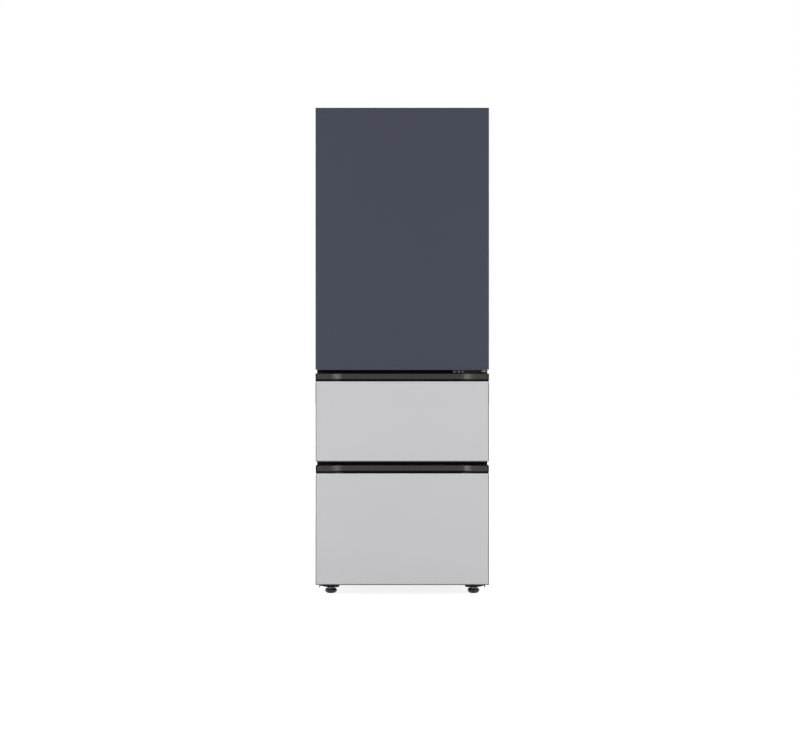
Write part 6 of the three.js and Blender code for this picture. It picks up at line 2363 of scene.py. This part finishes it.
@dataclass
class Undercarriage:
    """Levelling feet in front, rollers behind, and the base pan that carries them."""

    gauge: float = 1.5
    beads: tuple[float, ...] = (-150, -60, 30)
    bead_half: float = 200.0
    drain: tuple[float, float, float] = (65.0, 115.0, 8.0)  # inner end, outer end and width of a slot
    drain_setback: float = 20.0
    machine_depth: float = 210.0
    machine_height: float = 224.0
    bracket_half: float = 34.0
    bracket_hole: float = 7.0
    bracket_setback: float = 12.0
    bracket_depth: float = 66.0
    bracket_sheet: float = 3.0
    bracket_drop: float = 6.0
    tab_drop: float = 12.0
    flare: float = 6.0
    roller_width: float = 20.0

    def build(self) -> None:
        """Makes the feet, the rollers and the pan."""
        case, foam = Room.of("outer_case"), Room.of("insulation_foam")
        pan = Blank()
        self.add_floor(pan, case, foam)
        for sign, side in ((-1, "left"), (1, "right")):
            self.add_bracket(pan, sign, LevellingFoot(side).axis(), case)
            self.add_fork(pan, Room.of(f"roller_{side}"), case)
        pan.release("welded_base_pan", "cabinet", BLACK_PAINT, ["base_pan"])
        for side in ("left", "right"):
            LevellingFoot(side).build()
            self.build_roller(f"roller_{side}")

    def add_floor(self, pan: Blank, case: Room, foam: Room) -> None:
        """The floor plate with its drains, pressed beads and the machine room's cheeks.

        Args:
            pan: the pan on the bench.
            case: the room of the outer case.
            foam: the room of the foam, which stands on the plate.
        """
        base, half = case.z[0], foam.x[1]
        z = (base, base + self.gauge)
        front = case.y[1] - self.machine_depth
        inner, outer, width = self.drain
        slot = (front + self.drain_setback, front + self.drain_setback + width)
        pan.block(foam.x, (foam.y[0], slot[0]), z, 0)
        pan.block(foam.x, (slot[1], foam.y[1]), z, 0)
        for span in ((-half, -outer), (-inner, inner), (outer, half)):
            pan.block(span, slot, z, 0)
        rise = [(base + 0.3, 0), (base - 1.4, 0.6), (base - 2.6, 2.2), (base - 3, 4.5)]
        for y in self.beads:
            pan.stack(around(0, self.bead_half), around(y, 14), 12, rise)
        depth, height = (front + FIT, foam.y[1] - 12), (base, base + self.machine_height - FIT)
        for sign in (-1, 1):
            pan.block(on_side(sign, half - self.gauge, half), depth, height, 0.4)

    def add_bracket(self, pan: Blank, sign: int, foot: Flat, case: Room) -> None:
        """A leg bracket with its weld nut, bent flange and tab.

        Args:
            pan: the pan on the bench.
            sign: -1 on the left, 1 on the right.
            foot: the axis of the foot under it.
            case: the room of the outer case.
        """
        cx, cy = foot
        gauge, base = self.bracket_sheet, case.z[0]
        z = (base - self.bracket_drop, base - self.bracket_drop + gauge)
        front = case.y[0] + self.bracket_setback
        y = (front, front + self.bracket_depth)
        x = around(cx, self.bracket_half)
        (left, right), (near, far) = around(cx, self.bracket_hole), around(cy, self.bracket_hole)
        pan.block(x, (y[0], near), z, 0.4)
        pan.block(x, (far, y[1]), z, 0.4)
        pan.block((x[0], left), (near, far), z, 0.0)
        pan.block((right, x[1]), (near, far), z, 0.0)
        nut = [(5.4, z[0] - 0.3), (10.5, z[0] - 0.3), (10.5, base - 0.6), (5.4, base - 0.6)]
        pan.turned(nut, (cx, cy, 0), Way.Z, 28, ring=True, edge=0.3)
        for edge in (x[0], x[1] - gauge):
            pan.block((edge, edge + gauge), y, (z[0], base + 0.5), 0.6)
        low, high = x[::sign]
        flared = high + sign * self.flare
        root, tip = base + 0.5, base - self.tab_drop
        lower = [(low, z[0] - 2), (low + sign * 8, z[0] - 5), (high - sign * 16, z[0] - 4)]
        lower = [(low, root), *lower, (flared, z[0] + 1), (flared, root)]
        pan.slab(lower, (front, front + gauge), Way.Y, 0.7)
        tab = [(front, root), (front, tip + 1), (front + 1, tip), (front + 4, tip), (front + 14, root)]
        end = abs(flared)
        pan.slab(tab, on_side(sign, end, end + gauge + 1), Way.X, 0.6)

    def add_fork(self, pan: Blank, roller: Room, case: Room) -> None:
        """Two ears and the riveted axle of a roller.

        Args:
            pan: the pan on the bench.
            roller: the room of the roller.
            case: the room of the outer case.
        """
        cx, cy, cz = roller.centre()
        reach = self.roller_width / 2 + FIT
        gauge = self.bracket_sheet
        top = case.z[0] + 0.5
        turns = [math.pi * (1 + step / 8) for step in range(9)]
        ear = [(cy + 8.5 * math.cos(turn), cz + 8 * math.sin(turn)) for turn in turns]
        ear = [(cy - 16, top), *ear, (cy + 16, top)]
        for low in (cx - reach - gauge, cx + reach):
            pan.slab(ear, (low, low + gauge), Way.X, 0.6)
        end = reach + gauge
        axle = [(0, -end - 1.5), (4, -end - 1.2), (6, -end), (4, -end + 0.2)]
        pan.turned(axle + [(r, -h) for r, h in reversed(axle)], (cx, cy, cz), Way.X, 20)

    def build_roller(self, node: str) -> None:
        """A grooved roller with a hub.

        Args:
            node: the roller's CAD node and body.
        """
        room = Room.of(node)
        half = (room.x[1] - room.x[0]) / 2
        r = (room.z[1] - room.z[0]) / 2
        wheel = Blank()
        side = [(4.3, half), (7, half), (7.5, half - 2), (r - 4, half - 2), (r - 3.5, half)]
        side += [(r - 1.5, half), (r, half - 1.5), (r, 2.2), (r - 1, 1.2)]
        profile = [(radius, -x) for radius, x in side] + side[::-1]
        wheel.turned(profile, room.centre(), Way.X, 40, ring=True)
        wheel.release(f"{node}_wheel", node, RUBBER, [node])


def corners() -> list[list[float]]:
    """The shown object's lowest and highest corner as plain lists."""
    return [[round(float(value), 6) for value in corner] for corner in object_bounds()]


def main() -> None:
    """Builds the refrigerator in its studio."""
    logging.basicConfig(level=logging.INFO, format="%(message)s")
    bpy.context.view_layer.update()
    Studio().build()
    drawers = Drawer("middle", geared=False), Drawer("lower", geared=True)
    for assembly in (Cabinet(), UpperDoor(), *drawers, MachineRoom(), Undercarriage()):
        assembly.build()


if __name__ == "__main__":
    main()
